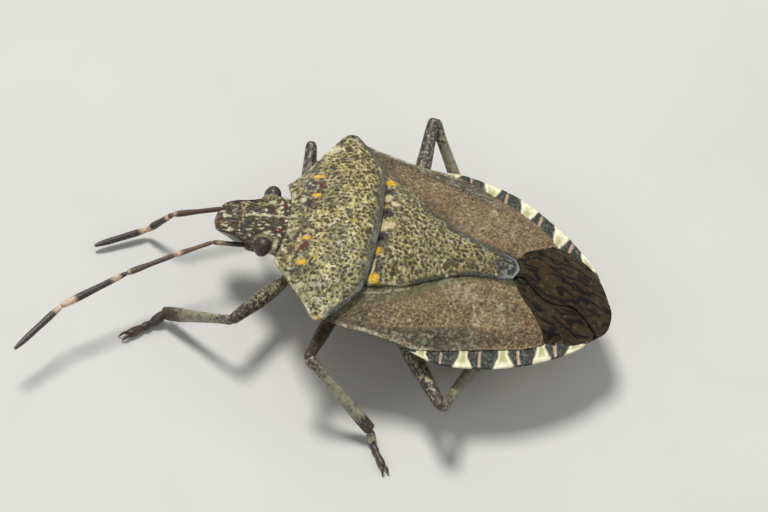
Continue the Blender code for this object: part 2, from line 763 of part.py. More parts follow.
def make_leg(word, joints, looks, bug, cutters, origin):
    coxa, knee, ankle, toe = joints
    ball(f"coxa_{word}", coxa, COXA_RADIUS, bug, origin, looks["underside"])

    points, radii = femur_line(coxa, knee)
    tube(f"femur_{word}", points, radii, bug, origin, looks["leg"], sides=10)
    points, radii = femur_line(coxa, knee, ROOM)
    thigh_room = as_mesh(tube(f"femur_room_{word}", points, radii, cutters, origin, sides=10),
                         cutters)

    points, radii = tibia_line(knee, ankle)
    tibia = as_mesh(tube(f"tibia_{word}", points, radii, bug, origin), bug)
    tibia.data.materials.append(looks["leg"])
    cut(tibia, thigh_room)
    settle(tibia)
    points, radii = tibia_line(knee, ankle, ROOM)
    shin_room = as_mesh(tube(f"tibia_room_{word}", points, radii, cutters, origin), cutters)

    points, radii = tarsus_line(ankle, toe)
    tarsus = as_mesh(tube(f"tarsus_{word}", points, radii, bug, origin), bug)
    claws = []
    for hand in (LEFT, RIGHT):
        points, radii = claw_line(ankle, toe, hand)
        claw = tube(f"claw_{word}_{hand}", points, radii, cutters, origin, sides=6)
        claws.append(as_mesh(claw, cutters))
    fuse(tarsus, claws)
    tarsus.data.materials.append(looks["foot"])
    flatten_sole(tarsus)
    cut(tarsus, shin_room)
    settle(tarsus)

    coxa_room = ball(f"coxa_room_{word}", coxa, COXA_RADIUS + GAP, cutters, origin)
    return coxa_room, thigh_room


def rest_on_origin(origin, bug):
    """Moves the bug so that the middle of its box's floor lies at the world's origin."""
    bpy.context.view_layer.update()
    graph = bpy.context.evaluated_depsgraph_get()
    corners = []
    for obj in bug.objects:
        if obj.type == "EMPTY":
            continue
        solid = obj.evaluated_get(graph)
        mesh = solid.to_mesh()
        corners.extend(solid.matrix_world @ vertex.co for vertex in mesh.vertices)
        solid.to_mesh_clear()
    box = np.array(corners)
    middle = (box.min(axis=0) + box.max(axis=0)) / 2
    origin.location = (-middle[0], -middle[1], -box[:, 2].min())


def make_looks():
    return {
        "shield": material("shield_olive", (0.33, 0.28, 0.14), 0.45),
        "head": material("head_brown", (0.22, 0.18, 0.12), 0.45),
        "corium": material("corium_tan", (0.30, 0.21, 0.15), 0.55),
        "membrane": material("membrane_dark", (0.06, 0.045, 0.035), 0.3),
        "rim": material("rim_cream", (0.55, 0.52, 0.38), 0.5),
        "underside": material("underside_buff", (0.45, 0.36, 0.22), 0.5),
        "eye": material("eye_maroon", (0.08, 0.02, 0.02), 0.2),
        "feeler": material("feeler_brown", (0.12, 0.08, 0.05), 0.5),
        "leg": material("leg_speckled", (0.25, 0.2, 0.15), 0.5),
        "foot": material("foot_dark", (0.1, 0.06, 0.04), 0.5),
    }


def main():
    bug, cutters = start_scene()
    looks = make_looks()
    origin = empty("bug_origin", bug, (0, 0, 0))
    body = empty("body_pitch", bug, (0, PIVOT_BEHIND, SHOULDER_HEIGHT), -BODY_PITCH, origin)
    make_plates(looks, bug, body)
    thorax, abdomen = make_trunk(looks, bug, body)
    head = make_head(looks, bug, cutters, body)
    make_beak(looks, bug, origin)
    make_feelers(looks, head, bug, cutters, origin)
    for word, joints in LEGS.items():
        for room in make_leg(word, joints, looks, bug, cutters, origin):
            cut(thorax, room)
            if word.startswith("hind"):
                cut(abdomen, room)
    rest_on_origin(origin, bug)


main()
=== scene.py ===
"""The looks of a brown marmorated stink bug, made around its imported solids.

Lengths are in millimetres and become metres where a mesh is made. The body is drawn in its own
frame: "behind" runs from the tip of the head to the tail, "aside" is sideways with the bug's left
positive, and "up" is the height over the shoulder corners. Legs and antennae are placed over the
floor. Patterns that follow the body are kept as attributes, one number a point, and the materials
mix their colours by them.
"""

import math

import bpy
import numpy as np
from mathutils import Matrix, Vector


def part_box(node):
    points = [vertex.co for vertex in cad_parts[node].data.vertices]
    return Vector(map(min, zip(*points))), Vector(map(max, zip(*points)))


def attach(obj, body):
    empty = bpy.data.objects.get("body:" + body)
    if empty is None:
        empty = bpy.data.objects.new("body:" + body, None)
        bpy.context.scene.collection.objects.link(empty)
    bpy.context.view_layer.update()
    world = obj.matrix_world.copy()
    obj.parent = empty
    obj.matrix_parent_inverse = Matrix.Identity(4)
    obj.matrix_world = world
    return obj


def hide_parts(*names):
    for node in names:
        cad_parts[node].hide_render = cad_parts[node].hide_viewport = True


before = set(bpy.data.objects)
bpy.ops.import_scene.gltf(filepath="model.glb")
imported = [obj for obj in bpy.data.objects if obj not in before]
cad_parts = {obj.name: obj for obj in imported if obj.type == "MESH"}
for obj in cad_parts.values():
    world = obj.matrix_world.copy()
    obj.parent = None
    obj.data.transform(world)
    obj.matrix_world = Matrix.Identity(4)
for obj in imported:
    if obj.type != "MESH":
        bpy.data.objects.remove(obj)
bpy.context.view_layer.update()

MM = 0.001
LEFT = 1
RIGHT = -1

BODY_LENGTH = 15.0
PIVOT_BEHIND = BODY_LENGTH / 2
BODY_PITCH = math.radians(4.0)
SHOULDER_HEIGHT = 3.8

EYE_BEHIND = 1.88
EYE_ASIDE = 1.22
EYE_UP = -0.82

PLATE_THICKNESS = 0.14
EDGE_ROUNDING = 0.09
MEMBRANE_THICKNESS = 0.04


# Curves and surfaces


def profile(*knots):
    """A smooth curve of value against position, through a few knots."""
    places, values = np.array(knots, dtype=float).T
    slopes = np.gradient(values, places)

    def at(place):
        place = np.clip(place, places[0], places[-1])
        i = np.clip(np.searchsorted(places, place, side="right") - 1, 0, len(places) - 2)
        step = places[i + 1] - places[i]
        t = (place - places[i]) / step
        ease = t * t * (3 - 2 * t)
        lean = slopes[i] * t * (1 - t) ** 2 - slopes[i + 1] * t * t * (1 - t)
        return values[i] + (values[i + 1] - values[i]) * ease + step * lean

    return at


def path(*points):
    """A smooth curve through points of any dimension, read from 0 to 1 along its chords."""
    spots = np.array(points, dtype=float)
    chords = np.linalg.norm(np.diff(spots, axis=0), axis=1)
    marks = np.concatenate([[0.0], np.cumsum(chords)]) / chords.sum()
    axes = [profile(*zip(marks, column)) for column in spots.T]
    return lambda t: np.stack([axis(np.asarray(t, dtype=float)) for axis in axes], -1)


def mirrored(curve):
    """The same plan curve on the other side of the body."""
    return lambda t: curve(t) * np.array([1.0, -1.0])


def patch(front, rear, inner, outer):
    """A plan surface between four edge curves, read by u across and v from front to rear."""

    def at(u, v):
        share = v[:, None]
        across = u[:, None]
        between = (1 - share) * front(u) + share * rear(u)
        along = (1 - across) * inner(v) + across * outer(v)
        corners = (1 - share) * ((1 - across) * front(0) + across * front(1))
        corners = corners + share * ((1 - across) * rear(0) + across * rear(1))
        return between + along - corners

    return at


def ease(value, low, high):
    """Rises smoothly from 0 at low to 1 at high."""
    t = np.clip((value - low) / (high - low), 0, 1)
    return t * t * (3 - 2 * t)


def chance(cells, seed):
    """A number from 0 to 1 for each cell of a plane, the same in every run."""
    spread = np.sin(cells @ np.array([127.1, 311.7]) + seed * 74.7) * 43758.5453
    return np.abs(np.modf(spread)[0])


def ripple(places, size, seed):
    """Smooth noise from 0 to 1 over a plane, with swells of about this size."""
    cell = np.floor(places / size)
    t = places / size - cell
    t = t * t * (3 - 2 * t)
    rows = []
    for step in (0, 1):
        near = chance(cell + (0, step), seed)
        far = chance(cell + (1, step), seed)
        rows.append(near + (far - near) * t[:, 0])
    return rows[0] + (rows[1] - rows[0]) * t[:, 1]


def scatter(places, spacing, seed):
    """Distance to the nearest of many strewn points, and that point's own number from 0 to 1."""
    cell = np.floor(places / spacing)
    nearest = np.full(len(places), np.inf)
    number = np.zeros(len(places))
    for ahead in (-1, 0, 1):
        for aside in (-1, 0, 1):
            other = cell + (ahead, aside)
            shift = np.stack([chance(other, seed), chance(other, seed + 1)], -1)
            shift[:, 0] = shift[:, 0] * 0.6 + 0.2 + 0.5 * (other[:, 1] % 2)
            shift[:, 1] = shift[:, 1] * 0.6 + 0.2
            gap = np.linalg.norm(places - (other + shift) * spacing, axis=1)
            closer = gap < nearest
            nearest = np.where(closer, gap, nearest)
            number = np.where(closer, chance(other, seed + 2), number)
    return nearest, number


def wandering(places, size, amount, seed):
    """The same places shifted a little here and there, so that what is strewn by them looks grown."""
    sway = np.stack([ripple(places, size, seed), ripple(places, size, seed + 1)], -1)
    return places + (sway - 0.5) * amount


def pitted(places, spacing, radius, seed):
    """Pits over a surface: 1 at the middle of each and 0 between them."""
    gap, number = scatter(wandering(places, spacing * 1.6, spacing * 1.2, seed + 5), spacing, seed)
    own = radius * (0.55 + 0.8 * number)
    return np.clip(1 - (gap / own) ** 2, 0, 1)


def spot(places, behind, aside, length, width):
    """A soft oval spot, 1 at its middle."""
    far = ((places[:, 0] - behind) / length) ** 2 + ((places[:, 1] - aside) / width) ** 2
    return np.exp(-far * far)


def strewn(places, *spots):
    """The strongest of several soft spots, each with its place, its length, width and strength."""
    found = np.zeros(len(places))
    for behind, aside, length, width, strength in spots:
        found = np.maximum(found, strength * spot(places, behind, aside, length, width))
    return found


def away_from_line(places, *points):
    """Distance of each place from a line through points in plan."""
    nearest = np.full(len(places), np.inf)
    for start, end in zip(points, points[1:]):
        start = np.array(start, dtype=float)
        along = np.array(end, dtype=float) - start
        t = np.clip((places - start) @ along / (along @ along), 0, 1)
        gap = np.linalg.norm(places - start - t[:, None] * along, axis=1)
        nearest = np.minimum(nearest, gap)
    return nearest


def rolled(distance, radius):
    """How far a rounded edge has dropped, by the distance from the edge."""
    inward = np.clip(1 - distance / radius, 0, 1)
    return radius * (1 - np.sqrt(1 - inward**2))


# Places in the frame


def tipped(behind, aside, up):
    """Points of the body's own frame, in millimetres over the floor."""
    along = behind - PIVOT_BEHIND
    forward = along * math.cos(BODY_PITCH) + up * math.sin(BODY_PITCH) + PIVOT_BEHIND
    height = up * math.cos(BODY_PITCH) - along * math.sin(BODY_PITCH) + SHOULDER_HEIGHT
    return np.stack(np.broadcast_arrays(aside, forward, height), -1)


eye_low, eye_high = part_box("eye_left")
SHIFT = np.array((eye_low + eye_high) / 2) / MM - tipped(EYE_BEHIND, EYE_ASIDE, EYE_UP)
SHIFT[2] = 0.0


def placed(points):
    """Points over the floor, in metres of the frame."""
    return (np.asarray(points) + SHIFT) * MM


# Widths and heights of the body

body_edge = profile(
    (5.3, 4.15), (6.5, 4.05), (7.8, 4.18), (8.8, 4.37), (9.5, 4.35), (10.3, 4.25), (11.4, 3.9),
    (12.4, 3.33), (13.1, 2.88), (13.6, 2.45), (14.2, 1.9), (14.6, 1.3), (14.86, 0.75), (15.0, 0.5),
)
edge_up = profile((5.0, -0.25), (7.0, -0.4), (9.0, -0.5), (14.0, -0.5), (15.1, -0.55))
wing_ridge = profile(
    (4.5, 0.6), (7.0, 0.65), (9.2, 0.6), (11.05, 0.5), (11.9, 0.33), (12.9, 0.12), (14.0, -0.13),
    (15.1, -0.45),
)
shield_half = profile((2.2, 1.75), (2.85, 2.45), (3.3, 3.2), (3.7, 3.8), (4.2, 4.35), (4.75, 3.95),
                      (5.27, 3.3), (5.7, 2.8))
shield_ridge = profile((2.2, -0.42), (2.55, -0.26), (3.2, 0.12), (3.8, 0.45), (4.5, 0.75),
                       (5.1, 0.87), (5.8, 0.88))
shield_edge = profile((2.2, -0.8), (2.85, -0.55), (3.3, -0.3), (3.7, -0.12), (4.2, 0.0),
                      (4.75, 0.14), (5.27, 0.3), (5.7, 0.48))
scutellum_half = profile((5.6, 2.7), (6.5, 2.25), (7.0, 2.05), (7.95, 1.5), (9.2, 0.9),
                         (10.4, 0.65), (11.0, 0.55), (11.2, 0.5))
scutellum_ridge = profile((5.6, 0.8), (6.5, 0.95), (7.2, 0.93), (8.0, 0.85), (9.2, 0.72),
                          (10.4, 0.68), (11.2, 0.6))
scutellum_edge = profile((5.6, 0.5), (6.2, 0.38), (7.0, 0.27), (8.0, 0.27), (9.2, 0.42),
                         (10.4, 0.48), (11.2, 0.44))
keel_up = profile((2.4, -2.15), (3.4, -2.3), (5.5, -2.42), (7.5, -2.55), (8.7, -2.65),
                  (10.5, -2.5), (12.5, -2.15), (14.0, -1.72), (14.86, -1.3))
wing_border = profile((7.8, 4.17), (8.5, 4.1), (10.05, 3.68), (11.15, 3.26), (12.23, 2.71),
                      (12.9, 2.25), (13.5, 2.04), (14.1, 1.66), (14.6, 1.2), (14.86, 0.7))

near_trim = profile((8.6, 0), (9.5, 0.05), (10.3, 0.15), (11.1, 0.17), (11.8, 0.16), (12.4, 0.1),
                    (13.1, 0.11), (13.6, 0.06), (14.3, 0.07))


corium_trim = profile((7.9, 0), (8.8, 0.2), (10.0, 0.29), (11.2, 0.26), (12.2, 0.13), (12.8, 0))


FAR_TRIM_SHARE = -0.35


def wing_trim(behind, aside):
    """How far a forewing's border stays inside the plain one: more on the left, out on the right."""
    return corium_trim(behind) * np.where(np.asarray(aside) > 0, 1.0, FAR_TRIM_SHARE)


def rim_edge(behind, aside):
    """The outer edge of the abdomen, which is a little narrower on the left."""
    return body_edge(behind) - near_trim(behind) * (np.asarray(aside) > 0)


def crowned(ridge, edge, half, behind, aside, power):
    share = np.clip(np.abs(aside) / half(behind), 0, 1)
    return ridge(behind) - (ridge(behind) - edge(behind)) * share**power


def shield_top(behind, aside):
    return crowned(shield_ridge, shield_edge, shield_half, behind, aside, 2.2)


def scutellum_top(behind, aside):
    return crowned(scutellum_ridge, scutellum_edge, scutellum_half, behind, aside, 2.2)


def wing_top(behind, aside):
    """Height of the folded wings. Beside the scutellum they dip, so its edge stands over them, and
    at their outer border they bend down to lie on the rim of the abdomen."""
    plain = crowned(wing_ridge, edge_up, body_edge, behind, aside, 1.5)
    seam = scutellum_half(behind)
    there = crowned(wing_ridge, edge_up, body_edge, behind, seam, 1.5)
    dip = np.maximum(there - scutellum_edge(behind) + 0.07, 0)
    off = np.maximum(np.abs(aside) - seam, 0) / 0.6
    inward = wing_border(behind) - wing_trim(behind, aside) - np.abs(aside)
    bend = (1 - ease(inward, 0.0, 0.6)) * ease(behind, 7.5, 8.5) * (1 - ease(behind, 13.2, 14.3))
    plain = plain - np.maximum(plain - edge_up(behind) + 0.02, 0) * bend
    return plain - dip * np.exp(-off * off) * (1 - ease(behind, 10.9, 11.6))


# Modelling


def put_away():
    bpy.ops.object.select_all(action="DESELECT")


def corners_of(piece):
    values = np.empty(len(piece.data.vertices) * 3)
    piece.data.vertices.foreach_get("co", values)
    return values.reshape(-1, 3)


def lay(piece, points):
    """Gives a piece's points their places, in metres."""
    piece.data.vertices.foreach_set("co", np.asarray(points, dtype=float).ravel())
    piece.data.update()


def named(name):
    piece = bpy.context.object
    piece.name = name
    piece.data.name = name
    return piece


def new_grid(name, across, along):
    """A grid to be laid over the body, with u across it and v along it from 0 to 1."""
    put_away()
    bpy.ops.mesh.primitive_grid_add(x_subdivisions=across, y_subdivisions=along, size=2)
    piece = named(name)
    places = (corners_of(piece) + 1) / 2
    return piece, places[:, 0], places[:, 1]


def new_pod(name, around, along):
    """A closed pod from a sphere: t runs from pole to pole and turn goes round."""
    put_away()
    bpy.ops.mesh.primitive_uv_sphere_add(segments=around, ring_count=along, radius=1)
    piece = named(name)
    places = corners_of(piece)
    t = np.arccos(np.clip(places[:, 2], -1, 1)) / math.pi
    return piece, t, np.arctan2(places[:, 1], places[:, 0])


def finish_with(piece, kind, **settings):
    """Adds a modifier with its settings and makes it part of the mesh."""
    change = piece.modifiers.new(kind.lower(), kind)
    for setting, value in settings.items():
        setattr(change, setting, value)
    bpy.context.view_layer.objects.active = piece
    bpy.ops.object.modifier_apply(modifier=change.name)


def turn_out(piece):
    """Points all faces outwards and shades them smoothly."""
    put_away()
    piece.select_set(True)
    bpy.context.view_layer.objects.active = piece
    bpy.ops.object.mode_set(mode="EDIT")
    bpy.ops.mesh.select_all(action="SELECT")
    bpy.ops.mesh.normals_make_consistent(inside=False)
    bpy.ops.object.mode_set(mode="OBJECT")
    bpy.ops.object.shade_smooth_by_angle(angle=math.radians(60))


def mark(piece, **masks):
    """Keeps patterns as attributes of the piece."""
    for name, values in masks.items():
        kept = piece.data.attributes.new(name, "FLOAT", "POINT")
        spread = np.broadcast_to(values, len(piece.data.vertices))
        kept.data.foreach_set("value", np.clip(spread, 0, 1).astype(np.float32))


def dress(piece, look, slot, *nodes):
    """Gives a piece its material, its place on the frame and the solids it stands for."""
    piece.data.materials.clear()
    piece.data.materials.append(look)
    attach(piece, "root")
    if nodes:
        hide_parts(*nodes)
    return piece


def plate(name, plan, top, across, along, masks, thickness=PLATE_THICKNESS):
    """A shell plate: a grid over the body, given its relief and patterns, and then a thickness."""
    piece, u, v = new_grid(name, across, along)
    places = plan(u, v)
    width = np.linalg.norm(plan(np.ones_like(u), v) - plan(np.zeros_like(u), v), axis=1)
    length = np.linalg.norm(plan(u, np.ones_like(v)) - plan(u, np.zeros_like(v)), axis=1)
    rims = {"inner": u * width, "outer": (1 - u) * width, "front": v * length,
            "rear": (1 - v) * length}
    patterns, relief = masks(places, rims)
    up = top(places[:, 0], places[:, 1]) + relief
    lay(piece, placed(tipped(places[:, 0], places[:, 1], up)))
    mark(piece, **patterns)
    turn_out(piece)
    middle = piece.data.polygons[len(piece.data.polygons) // 2]
    if middle.normal.z < 0:
        piece.data.flip_normals()
    finish_with(piece, "SOLIDIFY", thickness=thickness * MM, offset=-1)
    return piece


def limb(name, line, radius, around, along, flat=1.0, cap=1.0, angles=0.0, masks=None):
    """A closed bar along a line over the floor, as thick at each share as its radius says."""
    piece, t, turn = new_pod(name, around, along)
    share = (1 - np.cos(t * math.pi)) / 2
    spots = line(share)
    ahead = line(np.minimum(share + 0.01, 1)) - line(np.maximum(share - 0.01, 0))
    ahead /= np.linalg.norm(ahead, axis=1)[:, None]
    side = np.cross(ahead, (0.0, 0.0, 1.0))
    side /= np.linalg.norm(side, axis=1)[:, None]
    over = np.cross(side, ahead)
    whole = np.linalg.norm(np.diff(line(np.linspace(0, 1, 50)), axis=0), axis=1).sum()
    own = radius(share)
    blunt = np.minimum(share, 1 - share) * whole / np.maximum(own * cap, 0.01)
    own = own * np.sqrt(1 - np.clip(1 - blunt, 0, 1) ** 2) * (1 + angles * np.cos(3 * turn))
    out = side * np.cos(turn)[:, None] * flat + over * np.sin(turn)[:, None]
    lay(piece, placed(spots + out * own[:, None]))
    mark(piece, along=share)
    if masks is not None:
        mark(piece, **masks(share, turn))
    turn_out(piece)
    return piece


def straight(first, last):
    first = np.array(first, dtype=float)
    last = np.array(last, dtype=float)
    return lambda t: first + (last - first) * np.asarray(t)[:, None]


# Materials


class Look:
    """A material in the making: its nodes read object coordinates in millimetres."""

    def __init__(self, name, roughness=0.5, coat=0.0, coat_roughness=0.25):
        self.material = bpy.data.materials.new(name)
        self.material.use_nodes = True
        self.nodes = self.material.node_tree.nodes
        self.links = self.material.node_tree.links
        self.shader = self.nodes["Principled BSDF"]
        self.shader.inputs["Roughness"].default_value = roughness
        self.shader.inputs["Coat Weight"].default_value = coat
        self.shader.inputs["Coat Roughness"].default_value = coat_roughness
        source = self.nodes.new("ShaderNodeTexCoord")
        scaled = self.nodes.new("ShaderNodeMapping")
        scaled.inputs["Scale"].default_value = (1 / MM, 1 / MM, 1 / MM)
        self.links.new(source.outputs["Object"], scaled.inputs["Vector"])
        self.place = scaled.outputs["Vector"]

    def node(self, kind, inputs, **settings):
        made = self.nodes.new(kind)
        for setting, value in settings.items():
            setattr(made, setting, value)
        for key, value in inputs.items():
            if isinstance(value, bpy.types.NodeSocket):
                self.links.new(value, made.inputs[key])
            else:
                made.inputs[key].default_value = value
        return made

    def mask(self, name):
        return self.node("ShaderNodeAttribute", {}, attribute_name=name).outputs["Fac"]

    def noise(self, size, detail=3.0, rough=0.6):
        made = self.node("ShaderNodeTexNoise", {"Vector": self.place, "Scale": 1 / size,
                                                "Detail": detail, "Roughness": rough})
        return made.outputs[0]

    def cells(self, size, feature="F1"):
        made = self.node("ShaderNodeTexVoronoi", {"Vector": self.place, "Scale": 1 / size},
                         feature=feature)
        return made.outputs["Distance"]

    def between(self, value, low, high, start=0.0, end=1.0):
        made = self.node("ShaderNodeMapRange", {"Value": value, "From Min": low, "From Max": high,
                                                "To Min": start, "To Max": end})
        return made.outputs["Result"]

    def maths(self, operation, first, second=0.0):
        made = self.node("ShaderNodeMath", {0: first, 1: second}, operation=operation)
        return made.outputs[0]

    def mix(self, share, first, second):
        made = self.nodes.new("ShaderNodeMix")
        made.data_type = "RGBA"
        for key, value in ((0, share), (6, first), (7, second)):
            if isinstance(value, bpy.types.NodeSocket):
                self.links.new(value, made.inputs[key])
            elif key == 0:
                made.inputs[key].default_value = value
            else:
                made.inputs[key].default_value = (*value, 1.0)
        return made.outputs[2]

    def colour(self, value):
        self.links.new(value, self.shader.inputs["Base Color"])

    def roughness(self, value):
        self.links.new(value, self.shader.inputs["Roughness"])

    def metallic(self, value):
        self.links.new(value, self.shader.inputs["Metallic"])

    def bump(self, height, depth):
        made = self.node("ShaderNodeBump", {"Height": height, "Distance": depth * MM,
                                            "Strength": 1.0})
        self.links.new(made.outputs["Normal"], self.shader.inputs["Normal"])


CREAM = (0.85, 0.76, 0.37)
GOLD = (0.50, 0.41, 0.125)
OLIVE = (0.19, 0.165, 0.065)
PIT_GREEN = (0.070, 0.072, 0.030)
PIT_BRONZE = (0.12, 0.084, 0.034)
FROST_AND_SHEEN = (0.40, 0.47, 0.46)
BRASS = (0.40, 0.26, 0.065)
STEEL_BLUE = (0.030, 0.044, 0.042)
ORANGE = (0.95, 0.56, 0.03)
PURPLE = (0.055, 0.030, 0.035)
MAROON = (0.11, 0.012, 0.014)
IVORY = (0.80, 0.75, 0.50)
PEARL = (0.74, 0.70, 0.62)


def shell_look():
    """Olive-gold shell with dark metallic pits, for the pronotum, the scutellum and the head."""
    look = Look("pitted_shell", 0.38, coat=0.22, coat_roughness=0.16)
    ground = look.mix(look.between(look.noise(0.2, 5), 0.38, 0.6), OLIVE, GOLD)
    rusty = look.between(look.noise(0.9, 3), 0.5, 0.68, 0.0, 0.35)
    rusty = look.maths("MAXIMUM", rusty, look.maths("MULTIPLY", look.mask("rust"), 0.6))
    ground = look.mix(rusty, ground, (0.27, 0.16, 0.05))
    ground = look.mix(look.mask("gold"), ground, BRASS)
    flecks = look.between(look.noise(0.14, 3, 0.55), 0.46, 0.62, 0.0, 0.9)
    fleck = look.mix(look.between(look.noise(0.24, 3, 0.6), 0.5, 0.62), CREAM, PEARL)
    ground = look.mix(flecks, ground, fleck)
    # Steel-blue dark marks, with painted shade where the scutellum runs under the pronotum.
    ground = look.mix(look.mask("dark"), ground, STEEL_BLUE)
    pits = look.between(look.mask("pit"), 0.0, 0.6, 0.0, 0.94)
    metal = look.mix(look.between(look.noise(0.12, 2), 0.42, 0.58), PIT_GREEN, PIT_BRONZE)
    metal = look.mix(look.between(look.noise(0.21, 2), 0.52, 0.6, 0.0, 0.7), metal, PURPLE)
    ground = look.mix(pits, ground, metal)
    ground = look.mix(look.mask("bruise"), ground, PURPLE)
    ground = look.mix(look.mask("red"), ground, MAROON)
    # Ivory marks, with painted sheen on the pronotum's near half.
    ground = look.mix(look.mask("pale"), ground, IVORY)
    # Pale blue-grey frost, partly painted sheen on the pronotum's hem.
    ground = look.mix(look.mask("frost"), ground, FROST_AND_SHEEN)
    ground = look.mix(look.mask("warm"), ground, ORANGE)
    look.colour(ground)
    look.metallic(look.maths("MULTIPLY", pits, 0.3))
    look.roughness(look.between(look.noise(0.07, 2), 0.3, 0.7, 0.16, 0.4))
    look.bump(look.noise(0.075, 4, 0.75), 0.11)
    return look.material


def leather_look():
    """The leathery part of the forewings."""
    look = Look("leathery_wing", 0.45, coat=0.15)
    ground = look.mix(look.between(look.noise(0.7, 3), 0.35, 0.65), (0.168, 0.110, 0.047),
                      (0.310, 0.225, 0.112))
    ground = look.mix(look.between(look.noise(0.12, 3), 0.5, 0.62), ground, (0.50, 0.395, 0.215))
    ground = look.mix(look.mask("red"), ground, (0.27, 0.13, 0.065))
    ground = look.mix(look.mask("vein"), ground, (0.20, 0.095, 0.05))
    # Dark marks, with painted shade along the edge under the scutellum.
    ground = look.mix(look.mask("dark"), ground, (0.040, 0.047, 0.034))
    ground = look.mix(look.mask("frost"), ground, (0.31, 0.32, 0.235))
    pits = look.between(look.mask("pit"), 0.1, 0.7, 0.0, 0.66)
    ground = look.mix(pits, ground, (0.065, 0.045, 0.024))
    ground = look.mix(look.mask("olive"), ground, (0.155, 0.15, 0.062))
    # Pale marks, with painted sheen over the middle of the wings and painted glints along the outer border.
    ground = look.mix(look.mask("pale"), ground, (0.66, 0.60, 0.42))
    look.colour(ground)
    look.roughness(look.between(look.noise(0.1, 2), 0.3, 0.7, 0.3, 0.52))
    look.bump(look.noise(0.17, 4, 0.62), 0.3)
    return look.material


def membrane_look():
    look = Look("wing_membrane", 0.4)
    look.shader.inputs["Specular IOR Level"].default_value = 0.22
    ground = look.mix(look.between(look.noise(0.3, 5, 0.7), 0.35, 0.68), (0.018, 0.012, 0.004),
                      (0.052, 0.033, 0.011))
    ground = look.mix(look.mask("vein"), ground, (0.004, 0.003, 0.002))
    ground = look.mix(look.mask("pale"), ground, (0.11, 0.075, 0.042))
    look.colour(ground)
    look.roughness(look.between(look.noise(0.2, 2), 0.3, 0.7, 0.32, 0.55))
    look.bump(look.noise(0.07, 4), 0.02)
    return look.material


def rim_look():
    """The banded edge of the abdomen."""
    look = Look("banded_rim", 0.4, coat=0.2)
    ground = look.mix(look.between(look.noise(0.15, 3), 0.4, 0.65), (0.66, 0.62, 0.40),
                      (0.88, 0.87, 0.66))
    ground = look.mix(look.mask("olive"), ground, (0.33, 0.31, 0.12))
    dark = look.mix(look.between(look.noise(0.14, 3), 0.46, 0.64), (0.014, 0.019, 0.015),
                    (0.085, 0.085, 0.062))
    ground = look.mix(look.mask("dark"), ground, dark)
    ground = look.mix(look.mask("red"), ground, (0.40, 0.20, 0.13))
    look.colour(ground)
    look.bump(look.noise(0.06, 3), 0.015)
    return look.material


def under_look():
    look = Look("buff_underside", 0.45, coat=0.15)
    ground = look.mix(look.between(look.noise(0.6, 4), 0.35, 0.65), (0.36, 0.27, 0.13),
                      (0.55, 0.45, 0.25))
    ground = look.mix(look.between(look.mask("pit"), 0.1, 0.6, 0.0, 0.7), ground,
                      (0.10, 0.07, 0.04))
    ground = look.mix(look.mask("dark"), ground, (0.05, 0.045, 0.035))
    look.colour(ground)
    look.bump(look.noise(0.07, 3), 0.012)
    return look.material


def eye_look():
    look = Look("faceted_eye", 0.34, coat=0.25, coat_roughness=0.15)
    look.colour(look.mix(look.between(look.noise(0.25, 3), 0.4, 0.62), (0.012, 0.006, 0.005),
                         (0.054, 0.029, 0.021)))
    look.bump(look.cells(0.032), 0.012)
    return look.material


def limb_look():
    """Speckled legs: the dark mask sets how much of the pale ground the dark spots cover."""
    look = Look("speckled_leg", 0.36, coat=0.2)
    pale = look.mix(look.between(look.noise(0.2, 3), 0.35, 0.65), (0.12, 0.112, 0.064),
                    (0.33, 0.32, 0.215))
    # On the middle thighs the dark mask also carries painted shade.
    blots = look.maths("ADD", look.noise(0.11, 3, 0.55), look.mask("dark"))
    blots = look.between(blots, 0.98, 1.05)
    dark = look.mix(look.between(look.noise(0.15, 2), 0.4, 0.6), (0.016, 0.013, 0.012),
                    (0.055, 0.034, 0.026))
    ground = look.mix(blots, pale, dark)
    ground = look.mix(look.mask("warm"), ground, (0.070, 0.034, 0.020))
    look.colour(ground)
    look.roughness(look.between(look.noise(0.1, 2), 0.3, 0.7, 0.28, 0.5))
    look.bump(look.noise(0.05, 3), 0.022)
    return look.material


def feeler_look():
    look = Look("banded_feeler", 0.4, coat=0.15)
    pale = look.mix(look.between(look.noise(0.1, 2), 0.4, 0.6), (0.46, 0.30, 0.19),
                    (0.66, 0.50, 0.36))
    dark = look.mix(look.between(look.noise(0.07, 3), 0.42, 0.62), (0.013, 0.011, 0.010),
                    (0.075, 0.058, 0.045))
    ground = look.mix(look.mask("dark"), pale, dark)
    ground = look.mix(look.mask("warm"), ground, (0.14, 0.085, 0.045))
    look.colour(ground)
    look.bump(look.noise(0.035, 3), 0.015)
    return look.material


def horn_look():
    look = Look("dark_claw", 0.3, coat=0.3)
    look.colour(look.mix(look.between(look.noise(0.1, 2), 0.35, 0.65), (0.02, 0.011, 0.008),
                         (0.08, 0.04, 0.02)))
    look.bump(look.noise(0.05, 2), 0.008)
    return look.material


# The plates

shield_front = path((2.3, -1.78), (2.44, -1.2), (2.52, 0.0), (2.44, 1.2), (2.3, 1.78))
shield_rear = path((5.6, -2.72), (5.72, -1.4), (5.75, 0.0), (5.72, 1.4), (5.6, 2.72))
shield_side = path((2.3, 1.78), (2.85, 2.45), (3.3, 3.2), (3.7, 3.8), (4.08, 4.3), (4.3, 4.32),
                   (4.75, 3.95), (5.27, 3.27), (5.6, 2.72))
shield_plan = patch(shield_front, shield_rear, mirrored(shield_side), shield_side)


